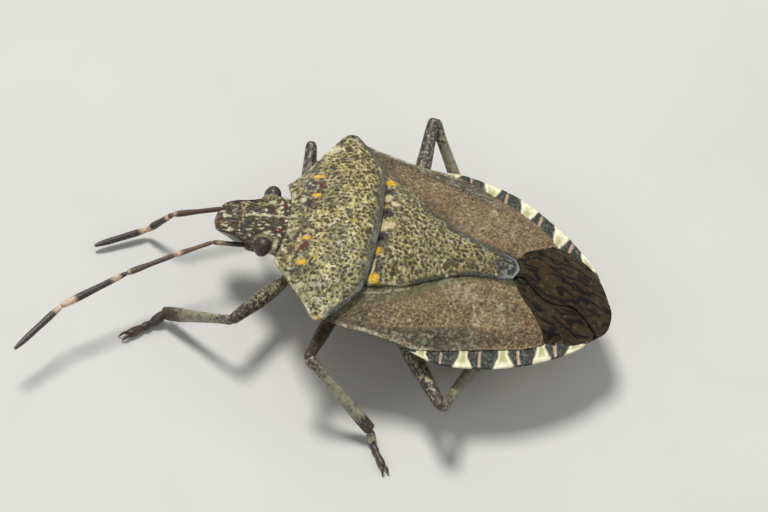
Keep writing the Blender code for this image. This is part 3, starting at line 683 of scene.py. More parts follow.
SHIELD_ORANGE = ((3.25, -1.98, 0.16, 0.1, 1), (3.29, -0.98, 0.15, 0.09, 1), (3.23, 0.98, 0.15, 0.09, 1),
                 (3.24, 2.0, 0.17, 0.1, 1), (4.17, 4.26, 0.045, 0.05, 0.8))
SHIELD_RED = ((3.36, -1.48, 0.17, 0.18, 1), (3.26, 1.26, 0.12, 0.13, 0.95), (3.1, 1.42, 0.12, 0.12, 0.8),
              (3.31, -0.52, 0.1, 0.13, 0.8))
SHIELD_TEAL = ((3.07, -0.6, 0.2, 0.22, 0.95), (3.14, 2.3, 0.22, 0.2, 0.95), (3.93, 3.9, 0.18, 0.15, 0.95),
               (3.84, -3.82, 0.22, 0.2, 0.95), (3.25, -2.9, 0.16, 0.2, 0.9), (3.0, -2.3, 0.14, 0.16, 0.8), (3.15, 0.3, 0.2, 0.3, 0.8), (3.1, -2.45, 0.2, 0.2, 0.8),
               (3.3, 1.5, 0.12, 0.2, 0.8))
SHIELD_CREAM = ((2.88, -0.77, 0.1, 0.13, 0.9), (2.56, -1.01, 0.09, 0.15, 0.9), (3.35, 2.95, 0.14, 0.14, 0.8),
                (3.52, -3.38, 0.34, 0.2, 1), (2.62, 0.6, 0.08, 0.16, 0.6))
SHIELD_GOLD = ((4.04, -3.8, 0.16, 0.14, 1), (4.6, -2.6, 0.9, 1.0, 0.4))


def shield_masks(places, rims):
    """Pits all over, orange spots and dark bruises on the calluses, and a pale front margin."""
    behind = places[:, 0]
    aside = np.abs(places[:, 1])
    side = np.minimum(rims["inner"], rims["outer"])
    edge = np.minimum(side, np.minimum(rims["front"], rims["rear"]))
    swell = ripple(places, 0.5, 5)
    blotch = ripple(places, 0.2, 6)
    fine = ripple(places, 0.1, 7)
    pits = pitted(places, 0.185, 0.078, 3)
    callus = spot(np.stack([behind, aside], -1), 3.02, 1.25, 0.36, 0.95)
    hem = ease(behind, 4.2, 4.55) * (1 - ease(side + 0.16 * (blotch - 0.5), 0.22, 0.42))
    hem = np.maximum(hem, 1 - ease(rims["rear"] + 0.12 * (blotch - 0.5), 0.15, 0.32))
    pits = pits * (1 - 0.6 * callus) * (1 - hem) * ease(edge, 0.02, 0.1)
    warm = strewn(places, *SHIELD_ORANGE)
    red = strewn(places, *SHIELD_RED)
    bruise = 0.9 * callus * ease(blotch + 0.4 * fine, 0.4, 0.7)
    bruise = np.maximum(bruise, 0.9 * spot(places, 4.19, -4.25, 0.14, 0.16))
    near_front = 1 - ease(behind, 3.9, 4.15)
    pale = 0.85 * near_front * (1 - ease(side, 0.06, 0.2)) * ease(blotch + 0.5 * fine, 0.65, 0.95)
    collar = 1 - ease(rims["front"], 0.12, 0.34)
    pale = np.maximum(pale, 0.75 * collar * ease(fine + 0.4 * blotch, 0.8, 1.05))
    pale = np.maximum(pale, strewn(places, *SHIELD_CREAM) * ease(fine + 0.5 * blotch, 0.3, 0.7))
    pale = np.maximum(pale, spot(places, 3.54, -3.44, 0.26, 0.17))
    pale = np.maximum(pale, 0.6 * callus * ease(fine, 0.66, 0.82))
    dark = np.maximum(0.9 * hem, 0.4 * ease(ripple(places, 0.6, 8), 0.45, 0.8))
    dark = np.maximum(dark, 0.6 * (1 - ease(side, 0.1, 0.35)) * ease(blotch, 0.3, 0.6))
    dark = np.maximum(dark, 0.6 * collar * ease(blotch, 0.2, 0.55))
    dark = np.maximum(dark, strewn(places, *SHIELD_TEAL) * ease(blotch + 0.3 * fine, 0.25, 0.6))
    dark = np.maximum(dark, 0.8 * (1 - ease(rims["rear"], 0.25, 0.9)) * ease(blotch + 0.3 * swell, 0.25, 0.7))
    relief = -0.032 * pits + 0.05 * callus + 0.04 * swell + 0.02 * blotch + 0.012 * fine
    relief = relief - rolled(edge, EDGE_ROUNDING)
    relief = relief + 0.03 * (1 - ease(side, 0.0, 0.25)) * near_front
    rust = ease(-places[:, 1], 2.2, 3.9) * ease(swell, 0.25, 0.6)
    # Pale flecks over the near left half of the disc: painted sheen.
    painted_sheen = ease(places[:, 1], 0.6, 2.6) * ease(behind, 3.2, 3.9) * (1 - ease(behind, 4.8, 5.3))
    pale = np.maximum(pale, 0.55 * painted_sheen * ease(fine + 0.3 * swell, 0.78, 0.98))
    gold = np.maximum(strewn(places, *SHIELD_GOLD), 0.35 * ease(-places[:, 1], -0.5, 2.0) * ease(swell, 0.3, 0.7))
    # Pale blue-grey flecks on the rear hem, stronger on the near left side: partly frost, partly painted sheen.
    frost = (0.07 + 0.15 * (places[:, 1] > 0)) * hem * ease(ripple(places, 0.14, 9), 0.4, 0.75)
    return {"pit": pits, "warm": warm, "red": red * (1 - pale), "bruise": bruise * (1 - warm), "frost": frost,
            "pale": pale * (1 - hem) * (1 - warm), "dark": dark * (1 - warm), "rust": rust,
            "gold": gold}, relief


scutellum_front = path((5.45, -2.5), (5.5, 0.0), (5.45, 2.5))
scutellum_rear = path((11.02, -0.42), (11.2, 0.0), (11.02, 0.42))
scutellum_side = path((5.45, 2.5), (5.95, 2.42), (6.5, 2.2), (7.0, 2.03), (7.95, 1.48), (9.2, 0.88),
                      (10.4, 0.63), (11.02, 0.42))
scutellum_plan = patch(scutellum_front, scutellum_rear, mirrored(scutellum_side), scutellum_side)


SCUTELLUM_ORANGE = ((5.9, -2.25, 0.2, 0.18, 1), (5.82, 1.08, 0.12, 0.15, 0.9), (5.88, 2.2, 0.2, 0.2, 1),
                    (5.8, -1.0, 0.08, 0.1, 0.6))
SCUTELLUM_IVORY = ((5.84, -1.38, 0.15, 0.2, 0.9), (6.14, -1.12, 0.16, 0.13, 0.85), (5.85, 0.02, 0.2, 0.22, 0.95),
                   (6.15, -0.1, 0.14, 0.15, 0.8), (5.8, 1.7, 0.05, 0.34, 0.8), (8.56, 1.07, 0.06, 0.05, 0.8),
                   (10.35, 0.5, 0.06, 0.05, 0.7), (6.3, 0.9, 0.08, 0.1, 0.5))
SCUTELLUM_PURPLE = ((5.9, -0.64, 0.22, 0.24, 1), (5.87, 0.52, 0.2, 0.22, 1), (5.96, 1.8, 0.14, 0.28, 0.7),
                    (5.95, -1.75, 0.14, 0.16, 0.7), (8.73, 0.48, 0.3, 0.16, 0.45), (9.25, 0.42, 0.25, 0.12, 0.45))


def scutellum_masks(places, rims):
    behind = places[:, 0]
    side = np.minimum(rims["inner"], rims["outer"])
    edge = np.minimum(side, rims["rear"])
    pits = pitted(places, 0.19, 0.084, 13)
    tip = ease(behind, 9.95, 10.6)
    swell = ripple(places, 0.5, 15)
    blotch = ripple(places, 0.22, 18)
    fine = ripple(places, 0.12, 17)
    far = ease(-places[:, 1], -0.1, 0.3)
    wide = side + 0.12 * (blotch - 0.5)
    hem = (1 - ease(wide, 0.08 + 0.22 * far, 0.2 + 0.3 * far)) * ease(behind, 6.4, 7.6)
    pits = pits * (1 - 0.3 * tip) * ease(edge, 0.03, 0.12)
    warm = np.maximum(strewn(places, *SCUTELLUM_ORANGE), 0.28 * strewn(places, *SCUTELLUM_IVORY[:4]))
    purple = strewn(places, *SCUTELLUM_PURPLE)
    pale = strewn(places, *SCUTELLUM_IVORY)
    # The front strip that runs under the pronotum is painted dark: painted shade.
    base = 1 - ease(behind, 5.72, 5.84)
    edging = 1 - ease(behind, 5.98, 6.4)
    dark = np.maximum(0.9 * hem, np.maximum(0.12 + 0.13 * ease(behind, 6.6, 7.8) + 0.2 * ease(swell, 0.5, 0.8) + 0.6 * tip * ease(fine + 0.5 * blotch, 0.3, 0.75), base))
    dark = np.maximum(dark, 0.75 * edging * ease(ripple(places, 0.4, 16), 0.35, 0.65))
    dark = np.maximum(dark, 0.5 * (1 - ease(side, 0.15, 0.5)) * ease(blotch, 0.45, 0.75))
    bruise = np.maximum(0.3 * tip * ease(swell, 0.4, 0.7), purple * ease(fine + 0.6 * swell, 0.2, 0.6))
    frost = (1 - ease(edge, 0.05, 0.16)) * ease(behind, 10.3, 10.8)
    frost = np.maximum(frost, 0.6 * np.maximum(tip, hem * far) * ease(fine, 0.66, 0.82))
    gold = ease(behind, 7.6, 9.2) * (1 - tip) * ease(swell + 0.3 * blotch, 0.2, 0.7)
    relief = -0.035 * pits + 0.04 * swell * (1 - tip) + 0.02 * fine - rolled(edge, EDGE_ROUNDING)
    relief = relief - 0.16 * (1 - ease(behind, 5.7, 5.95))
    kept = 1 - np.maximum(warm, pale)
    return {"pit": pits, "warm": warm, "rust": 0.6 * ease(swell, 0.45, 0.75), "pale": pale * (1 - ease(warm, 0.3, 0.6)),
            "frost": 0.9 * frost, "dark": dark * kept, "red": 0, "bruise": bruise * kept,
            "gold": 0.7 * gold}, relief


corium_front = path((5.35, 2.5), (4.95, 3.3), (4.5, 4.12))
corium_rear = path((11.08, 0.42), (11.4, 0.98), (11.95, 1.45), (12.8, 2.2))
corium_inner = path((5.35, 2.5), (6.0, 2.2), (6.5, 2.06), (7.0, 1.9), (7.95, 1.34), (9.2, 0.74),
                    (10.4, 0.48), (11.08, 0.42))
corium_outer = path((4.5, 4.12), (5.2, 4.14), (5.9, 4.08), (6.5, 4.06), (7.3, 4.06), (7.8, 4.12),
                    (8.5, 4.1), (10.05, 3.68), (11.15, 3.26), (12.23, 2.71), (12.8, 2.2))
corium_whole = patch(corium_front, corium_rear, corium_inner, corium_outer)


def corium_plan(u, v, hand):
    """The plan of a forewing's leathery part. The left one leaves more of the rim bare."""
    places = corium_whole(u, v)
    trim = wing_trim(places[:, 0], hand) * u
    return np.stack([places[:, 0], hand * (places[:, 1] - trim)], -1)

CLAVAL_LINE = ((5.37, 3.7), (6.12, 3.08), (6.95, 2.59), (7.86, 1.99), (8.56, 1.56), (9.4, 1.01), (10.77, 0.68))
COSTAL_LINE = ((5.4, 3.85), (6.79, 3.61), (7.31, 3.5), (8.38, 3.21), (9.75, 2.8), (10.98, 2.67), (12.7, 2.26))
FRENUM_LINE = ((5.64, 2.73), (6.46, 2.42), (7.3, 1.95))
CORIUM_DARK = ((5.86, 3.61, 0.14, 0.1, 1), (5.62, 3.2, 0.16, 0.16, 0.8), (6.4, 2.7, 0.3, 0.12, 0.7),
               (7.4, 2.1, 0.5, 0.12, 0.7), (8.6, 1.3, 0.4, 0.1, 0.6))
CORIUM_RUST = ((5.36, 3.81, 0.14, 0.12, 0.8), (5.55, 3.94, 0.1, 0.08, 0.8), (12.1, 2.2, 0.5, 0.35, 0.4),
               (11.5, 1.5, 0.4, 0.3, 0.45))
CORIUM_PALE = ((10.0, 2.62, 0.13, 0.07, 0.8), (10.1, 2.5, 0.08, 0.05, 0.7))
# Spots of painted sheen on the forewings: behind, aside, length, width and strength.
CORIUM_PAINTED_SHEEN = ((10.11, 2.31, 0.4, 0.3, 1), (10.58, 1.6, 0.4, 0.3, 0.9), (9.55, 3.39, 0.3, 0.2, 0.7),
               (10.01, 3.06, 0.3, 0.2, 0.8), (11.2, 2.2, 0.5, 0.3, 0.5), (9.3, 1.5, 0.9, 0.5, 0.8))


def corium_masks(places, rims):
    far = (places[:, 1] < 0) * 1.0
    places = np.stack([places[:, 0], np.abs(places[:, 1])], -1)
    behind = places[:, 0]
    edge = np.minimum(np.minimum(rims["outer"], rims["rear"]), rims["inner"])
    claval = away_from_line(places, *CLAVAL_LINE)
    costal = away_from_line(places, *COSTAL_LINE)
    frenum = away_from_line(places, *FRENUM_LINE)
    faint = 1 - 0.6 * ease(behind, 9.6, 10.6)
    vein = np.maximum(1 - ease(claval, 0.01, 0.06), faint * (1 - ease(costal, 0.01, 0.05)))
    pits = pitted(places * (1.0, 1.2), 0.165, 0.07, 23) * ease(edge, 0.03, 0.1) * (1 - vein)
    outside = places[:, 1] - profile(*COSTAL_LINE)(behind)
    inside = profile(*CLAVAL_LINE)(behind) - places[:, 1]
    strip = ease(outside, 0.0, 0.12) * (1 - ease(behind, 9.4, 10.6))
    clavus = ease(inside, -0.02, 0.08) * (1 - ease(behind, 9.6, 10.8))
    blotch = ripple(places, 0.12, 25)
    fine = ripple(places, 0.07, 27)
    swell = ripple(places, 0.5, 28)
    dark = 0.8 * strip * ease(blotch, 0.1, 0.45)
    border = (1 - ease(rims["outer"], 0.1, 0.2)) * (1 - ease(behind, 8.1, 8.9)) * ease(behind, 4.9, 5.3)
    frost = np.maximum(strip * ease(fine, 0.6, 0.8) * 0.7, border * ease(blotch, 0.2, 0.5))
    # Dark along the inner edge, where the wing runs under the scutellum and beside its edge: painted shade.
    dark = np.maximum(dark * (1 - border), 0.8 * (1 - ease(rims["inner"], 0.2, 0.3)))
    front = 1 - ease(behind, 5.8, 7.0)
    dark = np.maximum(dark, 0.5 * front * ease(blotch + 0.4 * swell, 0.4, 0.8))
    dark = np.maximum(dark, strewn(places, *CORIUM_DARK) * ease(blotch, 0.2, 0.5))
    dark = np.maximum(dark, 0.35 * clavus * ease(blotch + 0.3 * swell, 0.3, 0.7))
    line = (1 - ease(frenum, 0.02, 0.06)) * ease(blotch, 0.1, 0.4)
    pale = np.maximum(0.5 * line, strewn(places, *CORIUM_PALE) * ease(fine + blotch, 0.3, 0.9))
    # White flecks along the outer front border: painted glints.
    pale = np.maximum(pale, 0.8 * border * ease(fine, 0.62, 0.8))
    # Pale glow over the middle of the wing, weaker on the far right wing: painted sheen.
    painted_sheen = strewn(places, *CORIUM_PAINTED_SHEEN) * ease(blotch + 0.5 * fine, 0.6, 0.95)
    pale = np.maximum(pale, (0.46 - 0.2 * far) * painted_sheen)
    wrinkles = ripple(wandering(places, 0.4, 0.3, 29) @ np.array([[0.7, 2.2], [-0.7, 2.2]]), 0.45, 24)
    relief = -0.022 * pits + 0.03 * vein + 0.05 * ripple(places, 0.6, 26) + 0.04 * blotch
    relief = relief + 0.03 * front * wrinkles - rolled(np.minimum(rims["rear"], rims["inner"]), 0.07)
    relief = relief - rolled(rims["outer"], 0.03)
    red = np.maximum(strewn(places, *CORIUM_RUST), (0.12 + 0.28 * far) * ease(swell + 0.4 * blotch, 0.4, 0.9))
    return {"pit": pits, "vein": 0.55 * vein, "dark": dark * (1 - line), "frost": frost, "pale": pale,
            "olive": (0.5 * clavus + 0.2 * ease(swell, 0.4, 0.8)) * (1 - 0.6 * far), "red": red}, relief


cover_base = path((10.95, 0.3), (11.0, -0.35), (11.7, -1.25), (12.7, -2.25))
cover_rear = path((14.72, 1.22), (15.02, 0.85), (15.13, 0.36), (15.06, -0.17), (14.86, -0.68),
                  (14.58, -1.15))
cover_inner = path((10.95, 0.3), (11.33, 0.2), (11.89, 0.46), (12.43, 0.72), (12.92, 0.67),
                   (13.51, 0.52), (14.02, 0.73), (14.4, 0.98), (14.72, 1.22))
cover_outer = path((12.7, -2.25), (13.0, -2.22), (13.5, -2.05), (14.1, -1.66), (14.58, -1.15))
cover_plan = patch(cover_base, cover_rear, cover_inner, cover_outer)

under_base = path((10.9, -0.3), (11.2, 0.6), (11.8, 1.3), (12.7, 2.25))
under_rear = path((15.0, 0.3), (14.85, 0.95), (14.45, 1.5))
under_inner = path((10.9, -0.3), (12.43, -0.1), (13.5, -0.1), (15.0, 0.3))
under_outer = path((12.7, 2.25), (13.0, 2.22), (13.5, 2.05), (14.1, 1.72), (14.45, 1.5))
under_plan = patch(under_base, under_rear, under_inner, under_outer)


def streaks(places, seed):
    """Dark dashes along the veins of a membrane, which run back toward its rounded end."""
    grown = wandering(places, 0.5, 0.35, seed)
    strip = np.abs(((grown[:, 1] * 2.3) % 1) - 0.5) * 2
    dash = ripple(grown * (1.0, 1.7), 0.4, seed + 3)
    blob = ripple(wandering(places, 0.3, 0.3, seed + 4) * (1.0, 2.6), 0.34, seed + 6)
    dark = ease(strip, 0.6, 0.85) * ease(dash, 0.48, 0.6)
    return np.maximum(dark, ease(blob, 0.62, 0.74)), ease(strip, 0.5, 1.0)


def cover_masks(places, rims):
    dashes, ridge = streaks(places, 33)
    line = away_from_line(places, (11.4, 0.16), (11.89, 0.3), (12.43, 0.52), (12.92, 0.45),
                          (13.4, 0.32), (13.9, 0.4))
    dashes = np.maximum(dashes, 0.9 * (1 - ease(line, 0.03, 0.1)))
    hem = 1 - ease(np.minimum(rims["inner"], rims["rear"]), 0.03, 0.14)
    pale = 0.5 * ease(ripple(places, 0.1, 37), 0.76, 0.9)
    relief = 0.012 * ridge + 0.04 * ripple(places, 0.5, 36) - 0.004 * dashes
    relief = relief - rolled(np.minimum(rims["inner"], rims["rear"]), 0.03)
    return {"vein": np.maximum(dashes, 0.5 * hem), "pale": pale * (1 - dashes)}, relief


def under_masks(places, rims):
    dashes, ridge = streaks(places, 43)
    relief = 0.012 * ridge + 0.03 * ripple(places, 0.5, 46) - 0.004 * dashes
    pale = 0.5 * ease(ripple(places, 0.1, 47), 0.76, 0.9)
    return {"vein": dashes, "pale": pale * (1 - dashes)}, relief - 0.07


CREAM_PATCHES = ((7.88, 8.66), (9.5, 10.25), (11.02, 11.78), (12.46, 13.12), (13.58, 14.4))
PINK_LINES = (9.03, 10.5, 11.95, 13.27)
BAND_LEAN = 0.4
RIM_FRONT = 7.7
RIM_REAR = 14.75


def rim_plan(u, v, hand):
    behind = RIM_FRONT + (RIM_REAR - RIM_FRONT) * v
    inner = wing_border(behind) - 0.6
    outer = rim_edge(behind, hand) - 0.22 * ease(behind, 14.25, RIM_REAR)
    return np.stack([behind, hand * (inner + (outer - inner) * u)], -1)


def rim_top(behind, aside):
    out = ease(np.abs(aside), wing_border(behind) - 0.3, rim_edge(behind, aside))
    return edge_up(behind) - 0.03 + 0.02 * out


def rim_masks(places, rims):
    """Cream and black bands square to the edge, each black one cut by a thin pink line."""
    behind = places[:, 0]
    inward = rim_edge(behind, places[:, 1]) - np.abs(places[:, 1])
    slope = (body_edge(behind + 0.05) - body_edge(behind - 0.05)) / 0.1
    foot = behind - BAND_LEAN * inward * slope / (1 + slope**2)
    bare = np.maximum(rim_edge(foot, places[:, 1]) - wing_border(foot), 0.08)
    out = np.clip(1 - inward / bare, 0, 1)
    sway = 0.05 * (ripple(places, 0.12, 55) - 0.5)
    pale = 0
    olive = 0
    for start, end in CREAM_PATCHES:
        middle = (start + end) / 2
        half = (end - start) / 2 * (0.45 + 0.55 * out)
        off = np.abs(foot - middle) + sway
        inside = 1 - ease(off, half - 0.05, half + 0.04)
        pale = np.maximum(pale, inside)
        core = (1 - ease(off, half * 0.35, half * 0.75)) * (1 - ease(out, 0.35, 0.8))
        olive = np.maximum(olive, 0.8 * core * inside)
    red = 0
    suture = 0
    for line in PINK_LINES:
        off = np.abs(foot - line)
        red = np.maximum(red, (1 - ease(off, 0.015, 0.05)) * (1 - ease(out, 0.7, 0.9)))
        suture = np.maximum(suture, 1 - ease(off, 0.02, 0.08))
    relief = -0.03 * suture + 0.02 * ripple(places, 0.2, 51) - rolled(inward, 0.05)
    relief = relief - 0.02 * pitted(places, 0.14, 0.06, 53) * (1 - pale)
    return {"dark": (1 - pale) * (1 - red), "olive": olive, "red": red * (1 - pale)}, relief


def make_plates(looks):
    shield = plate("pronotum_shell", shield_plan, shield_top, 280, 108, shield_masks)
    dress(shield, looks["shell"], "shield_olive", "pronotum")
    middle = plate("scutellum_shell", scutellum_plan, scutellum_top, 150, 180, scutellum_masks)
    dress(middle, looks["shell"], "shield_olive", "scutellum")
    for hand, word in ((LEFT, "left"), (RIGHT, "right")):
        wing = plate(f"corium_leather_{word}", lambda u, v: corium_plan(u, v, hand), wing_top,
                     100, 230, corium_masks, thickness=0.1)
        dress(wing, looks["leather"], "corium_tan", f"corium_{word}")
        rim = plate(f"rim_bands_{word}", lambda u, v: rim_plan(u, v, hand), rim_top,
                    18, 230, rim_masks, thickness=0.12)
        dress(rim, looks["rim"], "rim_cream")
    cover = plate("membrane_skin_right", cover_plan, wing_top, 110, 120, cover_masks,
                  MEMBRANE_THICKNESS)
    dress(cover, looks["membrane"], "membrane_dark", "membrane_right")
    under = plate("membrane_skin_left", under_plan, wing_top, 110, 120, under_masks,
                  MEMBRANE_THICKNESS)
    dress(under, looks["membrane"], "membrane_dark", "membrane_left")


# The trunk and the head

TRUNK_FRONT = 2.4
TRUNK_REAR = 14.86

trunk_half = profile((2.4, 1.2), (2.6, 1.75), (2.85, 2.3), (3.3, 3.05), (3.7, 3.65), (4.2, 4.15),
                     (4.75, 3.95), (5.3, 3.98), (6.5, 3.94), (7.8, 4.06), (8.8, 4.26), (9.5, 4.25),
                     (10.3, 4.15), (11.4, 3.8), (12.4, 3.23), (13.1, 2.78), (13.6, 2.35),
                     (14.2, 1.8), (14.6, 1.15), (14.86, 0.6))
trunk_edge = profile((2.4, -1.0), (2.85, -0.78), (3.3, -0.5), (3.7, -0.32), (4.2, -0.2),
                     (4.75, -0.25), (5.3, -0.4), (7.0, -0.55), (9.0, -0.65), (14.0, -0.66),
                     (14.86, -0.75))
SEGMENT_SUTURES = (8.35, 9.75, 11.15, 12.4, 13.4)
BREAST_SUTURES = (3.95, 5.85)


def make_trunk(looks):
    trunk, t, turn = new_pod("trunk_shell", 144, 170)
    share = (1 - np.cos(t * math.pi)) / 2
    behind = TRUNK_FRONT + (TRUNK_REAR - TRUNK_FRONT) * share
    blunt = np.minimum(share, 1 - share) * (TRUNK_REAR - TRUNK_FRONT) / 0.35
    blunt = np.sqrt(1 - np.clip(1 - blunt, 0, 1) ** 2)
    across = np.cos(turn)
    half = trunk_half(behind) * blunt * (1 - 0.04 * (across > 0) * ease(behind, 8.6, 10.2))
    aside = half * across
    off = np.abs(across)
    rim = trunk_edge(behind)
    keel = keel_up(behind)
    covered = np.minimum(np.where(behind < 5.6, shield_top(behind, aside), wing_top(behind, aside)),
                         wing_ridge(behind))
    over = rim + np.maximum(covered - 0.4 - rim, 0) * (1 - off**3) * blunt
    below = rim + (keel - rim) * (1 - off**1.9) * blunt
    along = np.clip((8.0 - behind) / 0.8, 0, 1)
    below = below + 0.4 * along * np.exp(-((aside / 0.5) ** 4))
    suture = 0
    for line in SEGMENT_SUTURES + BREAST_SUTURES:
        bow = line + 0.25 * (1 - off**2)
        suture = np.maximum(suture, 1 - ease(np.abs(behind - bow), 0.02, 0.09))
    below = below + 0.04 * suture * blunt
    up = np.where(turn > 0, over, below)
    places = np.stack([behind, aside], -1)
    round_about = np.stack([behind, across * (off * half + 0.8 * np.abs(below - keel)) + 20], -1)
    pits = pitted(round_about, 0.2, 0.06, 61) * np.where(turn > 0, 0, 1)
    holes = 0
    for line in (8.9, 10.3, 11.7, 12.8, 13.7):
        for hand in (LEFT, RIGHT):
            hole = spot(places, line, hand * (trunk_half(line) - 0.75), 0.1, 0.08)
            holes = np.maximum(holes, hole)
    up = up - 0.02 * pits * np.where(turn > 0, 0, -1) + 0.05 * holes * np.where(turn > 0, 0, 1)
    lay(trunk, placed(tipped(behind, aside, up)))
    mark(trunk, pit=pits, dark=np.maximum(holes, 0.5 * suture))
    turn_out(trunk)
    dress(trunk, looks["under"], "underside_buff", "thorax", "abdomen")


head_half = profile((0.0, 0.22), (0.06, 0.42), (0.15, 0.55), (0.35, 0.68), (0.7, 0.78), (1.1, 0.85),
                    (1.45, 0.95), (1.7, 1.06), (1.95, 1.14), (2.3, 1.2), (2.7, 1.1))
head_ridge = profile((0.0, -1.54), (0.3, -1.2), (1.1, -0.85), (1.7, -0.64), (2.3, -0.4),
                     (2.7, -0.35))
head_edge = profile((0.0, -1.6), (0.3, -1.33), (1.0, -1.1), (1.6, -0.98), (2.3, -0.8),
                    (2.7, -0.75))
head_low = profile((0.0, -1.8), (0.4, -2.05), (1.2, -2.28), (2.3, -2.3), (2.7, -2.2))
HEAD_REAR = 2.7
HEAD_BLUNT = 0.16
EYE_REACH = (0.32, 0.36, 0.42)
SEEN_EYE_BEHIND = 1.83
SEEN_EYE_ASIDE = 1.18
SEEN_EYE_UP = -0.86
EYE_SOCKET_REACH = (0.39, 0.2, 0.4)
EYE_SOCKET_ASIDE = 0.93
OCELLUS_BEHIND = 2.27
OCELLUS_ASIDE = 0.57


def bead(name, centre, reach, around, along):
    """A small rounded body over the bug's own frame, with its reach behind, aside and up."""
    piece, t, turn = new_pod(name, around, along)
    ball = np.stack([np.sin(math.pi * t) * np.sin(turn), np.sin(math.pi * t) * np.cos(turn),
                     np.cos(math.pi * t)], -1) * np.array(reach)
    behind, aside, up = (ball + np.array(centre)).T
    lay(piece, placed(tipped(behind, aside, up)))
    turn_out(piece)
    return piece


def make_head(looks):
    head, t, turn = new_pod("head_shell", 200, 150)
    share = (1 - np.cos(t * math.pi)) / 2
    behind = HEAD_REAR * share
    front = np.clip(behind / HEAD_BLUNT, 0, 1)
    blunt = np.sqrt(1 - (1 - front) ** 2) * np.sqrt(np.clip((HEAD_REAR - behind) / 0.1, 0, 1))
    half = head_half(behind) * (0.25 + 0.75 * blunt)
    half = np.where((t < 1e-6) | (t > 1 - 1e-6), 0, half)
    across = np.cos(turn)
    aside = half * across
    off = np.abs(across)
    ridge = head_ridge(behind)
    edge = head_edge(behind)
    cheek = 0.07 * (1 - ease(behind, 1.4, 1.7)) * blunt
    groove_aside = 0.17 + 0.1 * behind
    groove = 1 - ease(np.abs(np.abs(aside) - groove_aside), 0.015, 0.08)
    groove = groove * (1 - ease(behind, 1.3, 1.75)) * blunt
    places = np.stack([behind, aside], -1)
    round_about = np.stack([behind, (math.pi / 2 - turn) * half], -1)
    coarse = pitted(round_about, 0.17, 0.095, 71) * (1 - groove) * (1 - ease(off, 0.93, 0.99))
    margin = ease(off, 0.78, 0.93) * (1 - ease(behind, 1.5, 1.8))
    margin = np.maximum(margin, 1 - ease(behind, 0.12, 0.34))
    wrinkle = ripple(round_about * (1.0, 1.4), 0.16, 78)
    blotch = ripple(round_about, 0.2, 73)
    socket = np.exp(-(((behind - EYE_BEHIND) / 0.42) ** 2) - ((np.abs(aside) - 1.0) / 0.2) ** 2)
    over = ridge - (ridge - edge) * off ** (2 + 2 * ease(behind, 1.1, 1.8))
    over = over + (0.02 + 0.06 * blotch) * margin - 0.07 * groove - 0.05 * coarse + 0.06 * (wrinkle - 0.5)
    over = over + 0.16 * socket
    below = head_low(behind) + (edge - cheek - head_low(behind)) * off**2.2
    furrow = 0.25 * ease(behind, 0.5, 0.9) * np.exp(-((aside / 0.34) ** 4))
    up = np.where(turn > 0, over, below + furrow)
    middle = (ridge + head_low(behind)) / 2
    up = middle + (up - middle) * (0.3 + 0.7 * blunt)
    lay(head, placed(tipped(behind, aside, up)))
    swell = ripple(places, 0.4, 76)
    pale = 0.8 * (1 - ease(np.abs(aside + 0.08), 0.015, 0.06)) * ease(behind, 0.9, 1.1) * ease(blotch, 0.15, 0.4)
    small = ripple(round_about * (0.7, 1.2), 0.09, 79)
    pale = np.maximum(pale, 0.9 * ease(small, 0.62, 0.74) * ease(blotch, 0.3, 0.5))
    for hand in (LEFT, RIGHT):
        pale = np.maximum(pale, 0.9 * spot(places, 2.26, hand * 1.13, 0.09, 0.22))
        pale = np.maximum(pale, 0.7 * spot(places, 1.85, hand * 0.72, 0.13, 0.09))
    side = np.where(turn > 0, 1, 0)
    dark = 0.92 * ease(ripple(places, 0.3, 75), 0.1, 0.45)
    red = np.maximum(0.5 * margin * ease(blotch, 0.1, 0.45), 0.35 * ease(swell, 0.6, 0.8))
    bruise = np.maximum(0.6 * groove, 0.5 * margin)
    for hand in (LEFT, RIGHT):
        bruise = np.maximum(bruise, 0.9 * spot(places, OCELLUS_BEHIND - 0.02, hand * OCELLUS_ASIDE, 0.19, 0.17))
    mark(head, frost=0, rust=0.4 * ease(blotch, 0.4, 0.7), pit=coarse * side,
         pale=pale * (0.4 + 0.6 * side), dark=dark * (1 - pale), red=red * (1 - pale), warm=0,
         bruise=bruise * (1 - pale), gold=0)
    turn_out(head)
    dress(head, looks["shell"], "head_brown", "head")

    for hand, word in ((LEFT, "left"), (RIGHT, "right")):
        eye = bead(f"eye_facets_{word}", (SEEN_EYE_BEHIND, hand * SEEN_EYE_ASIDE, SEEN_EYE_UP),
                   EYE_REACH, 56, 36)
        dress(eye, looks["eye"], "eye_maroon", f"eye_{word}")
        make_eye_socket(looks, hand, word)
        share = (OCELLUS_ASIDE / head_half(OCELLUS_BEHIND)) ** 2
        top = head_ridge(OCELLUS_BEHIND) * (1 - share) + head_edge(OCELLUS_BEHIND) * share
        glint = bead(f"ocellus_{word}", (OCELLUS_BEHIND, hand * OCELLUS_ASIDE, top),
                     (0.12, 0.1, 0.075), 24, 14)
        dress(glint, looks["glint"], "eye_maroon")


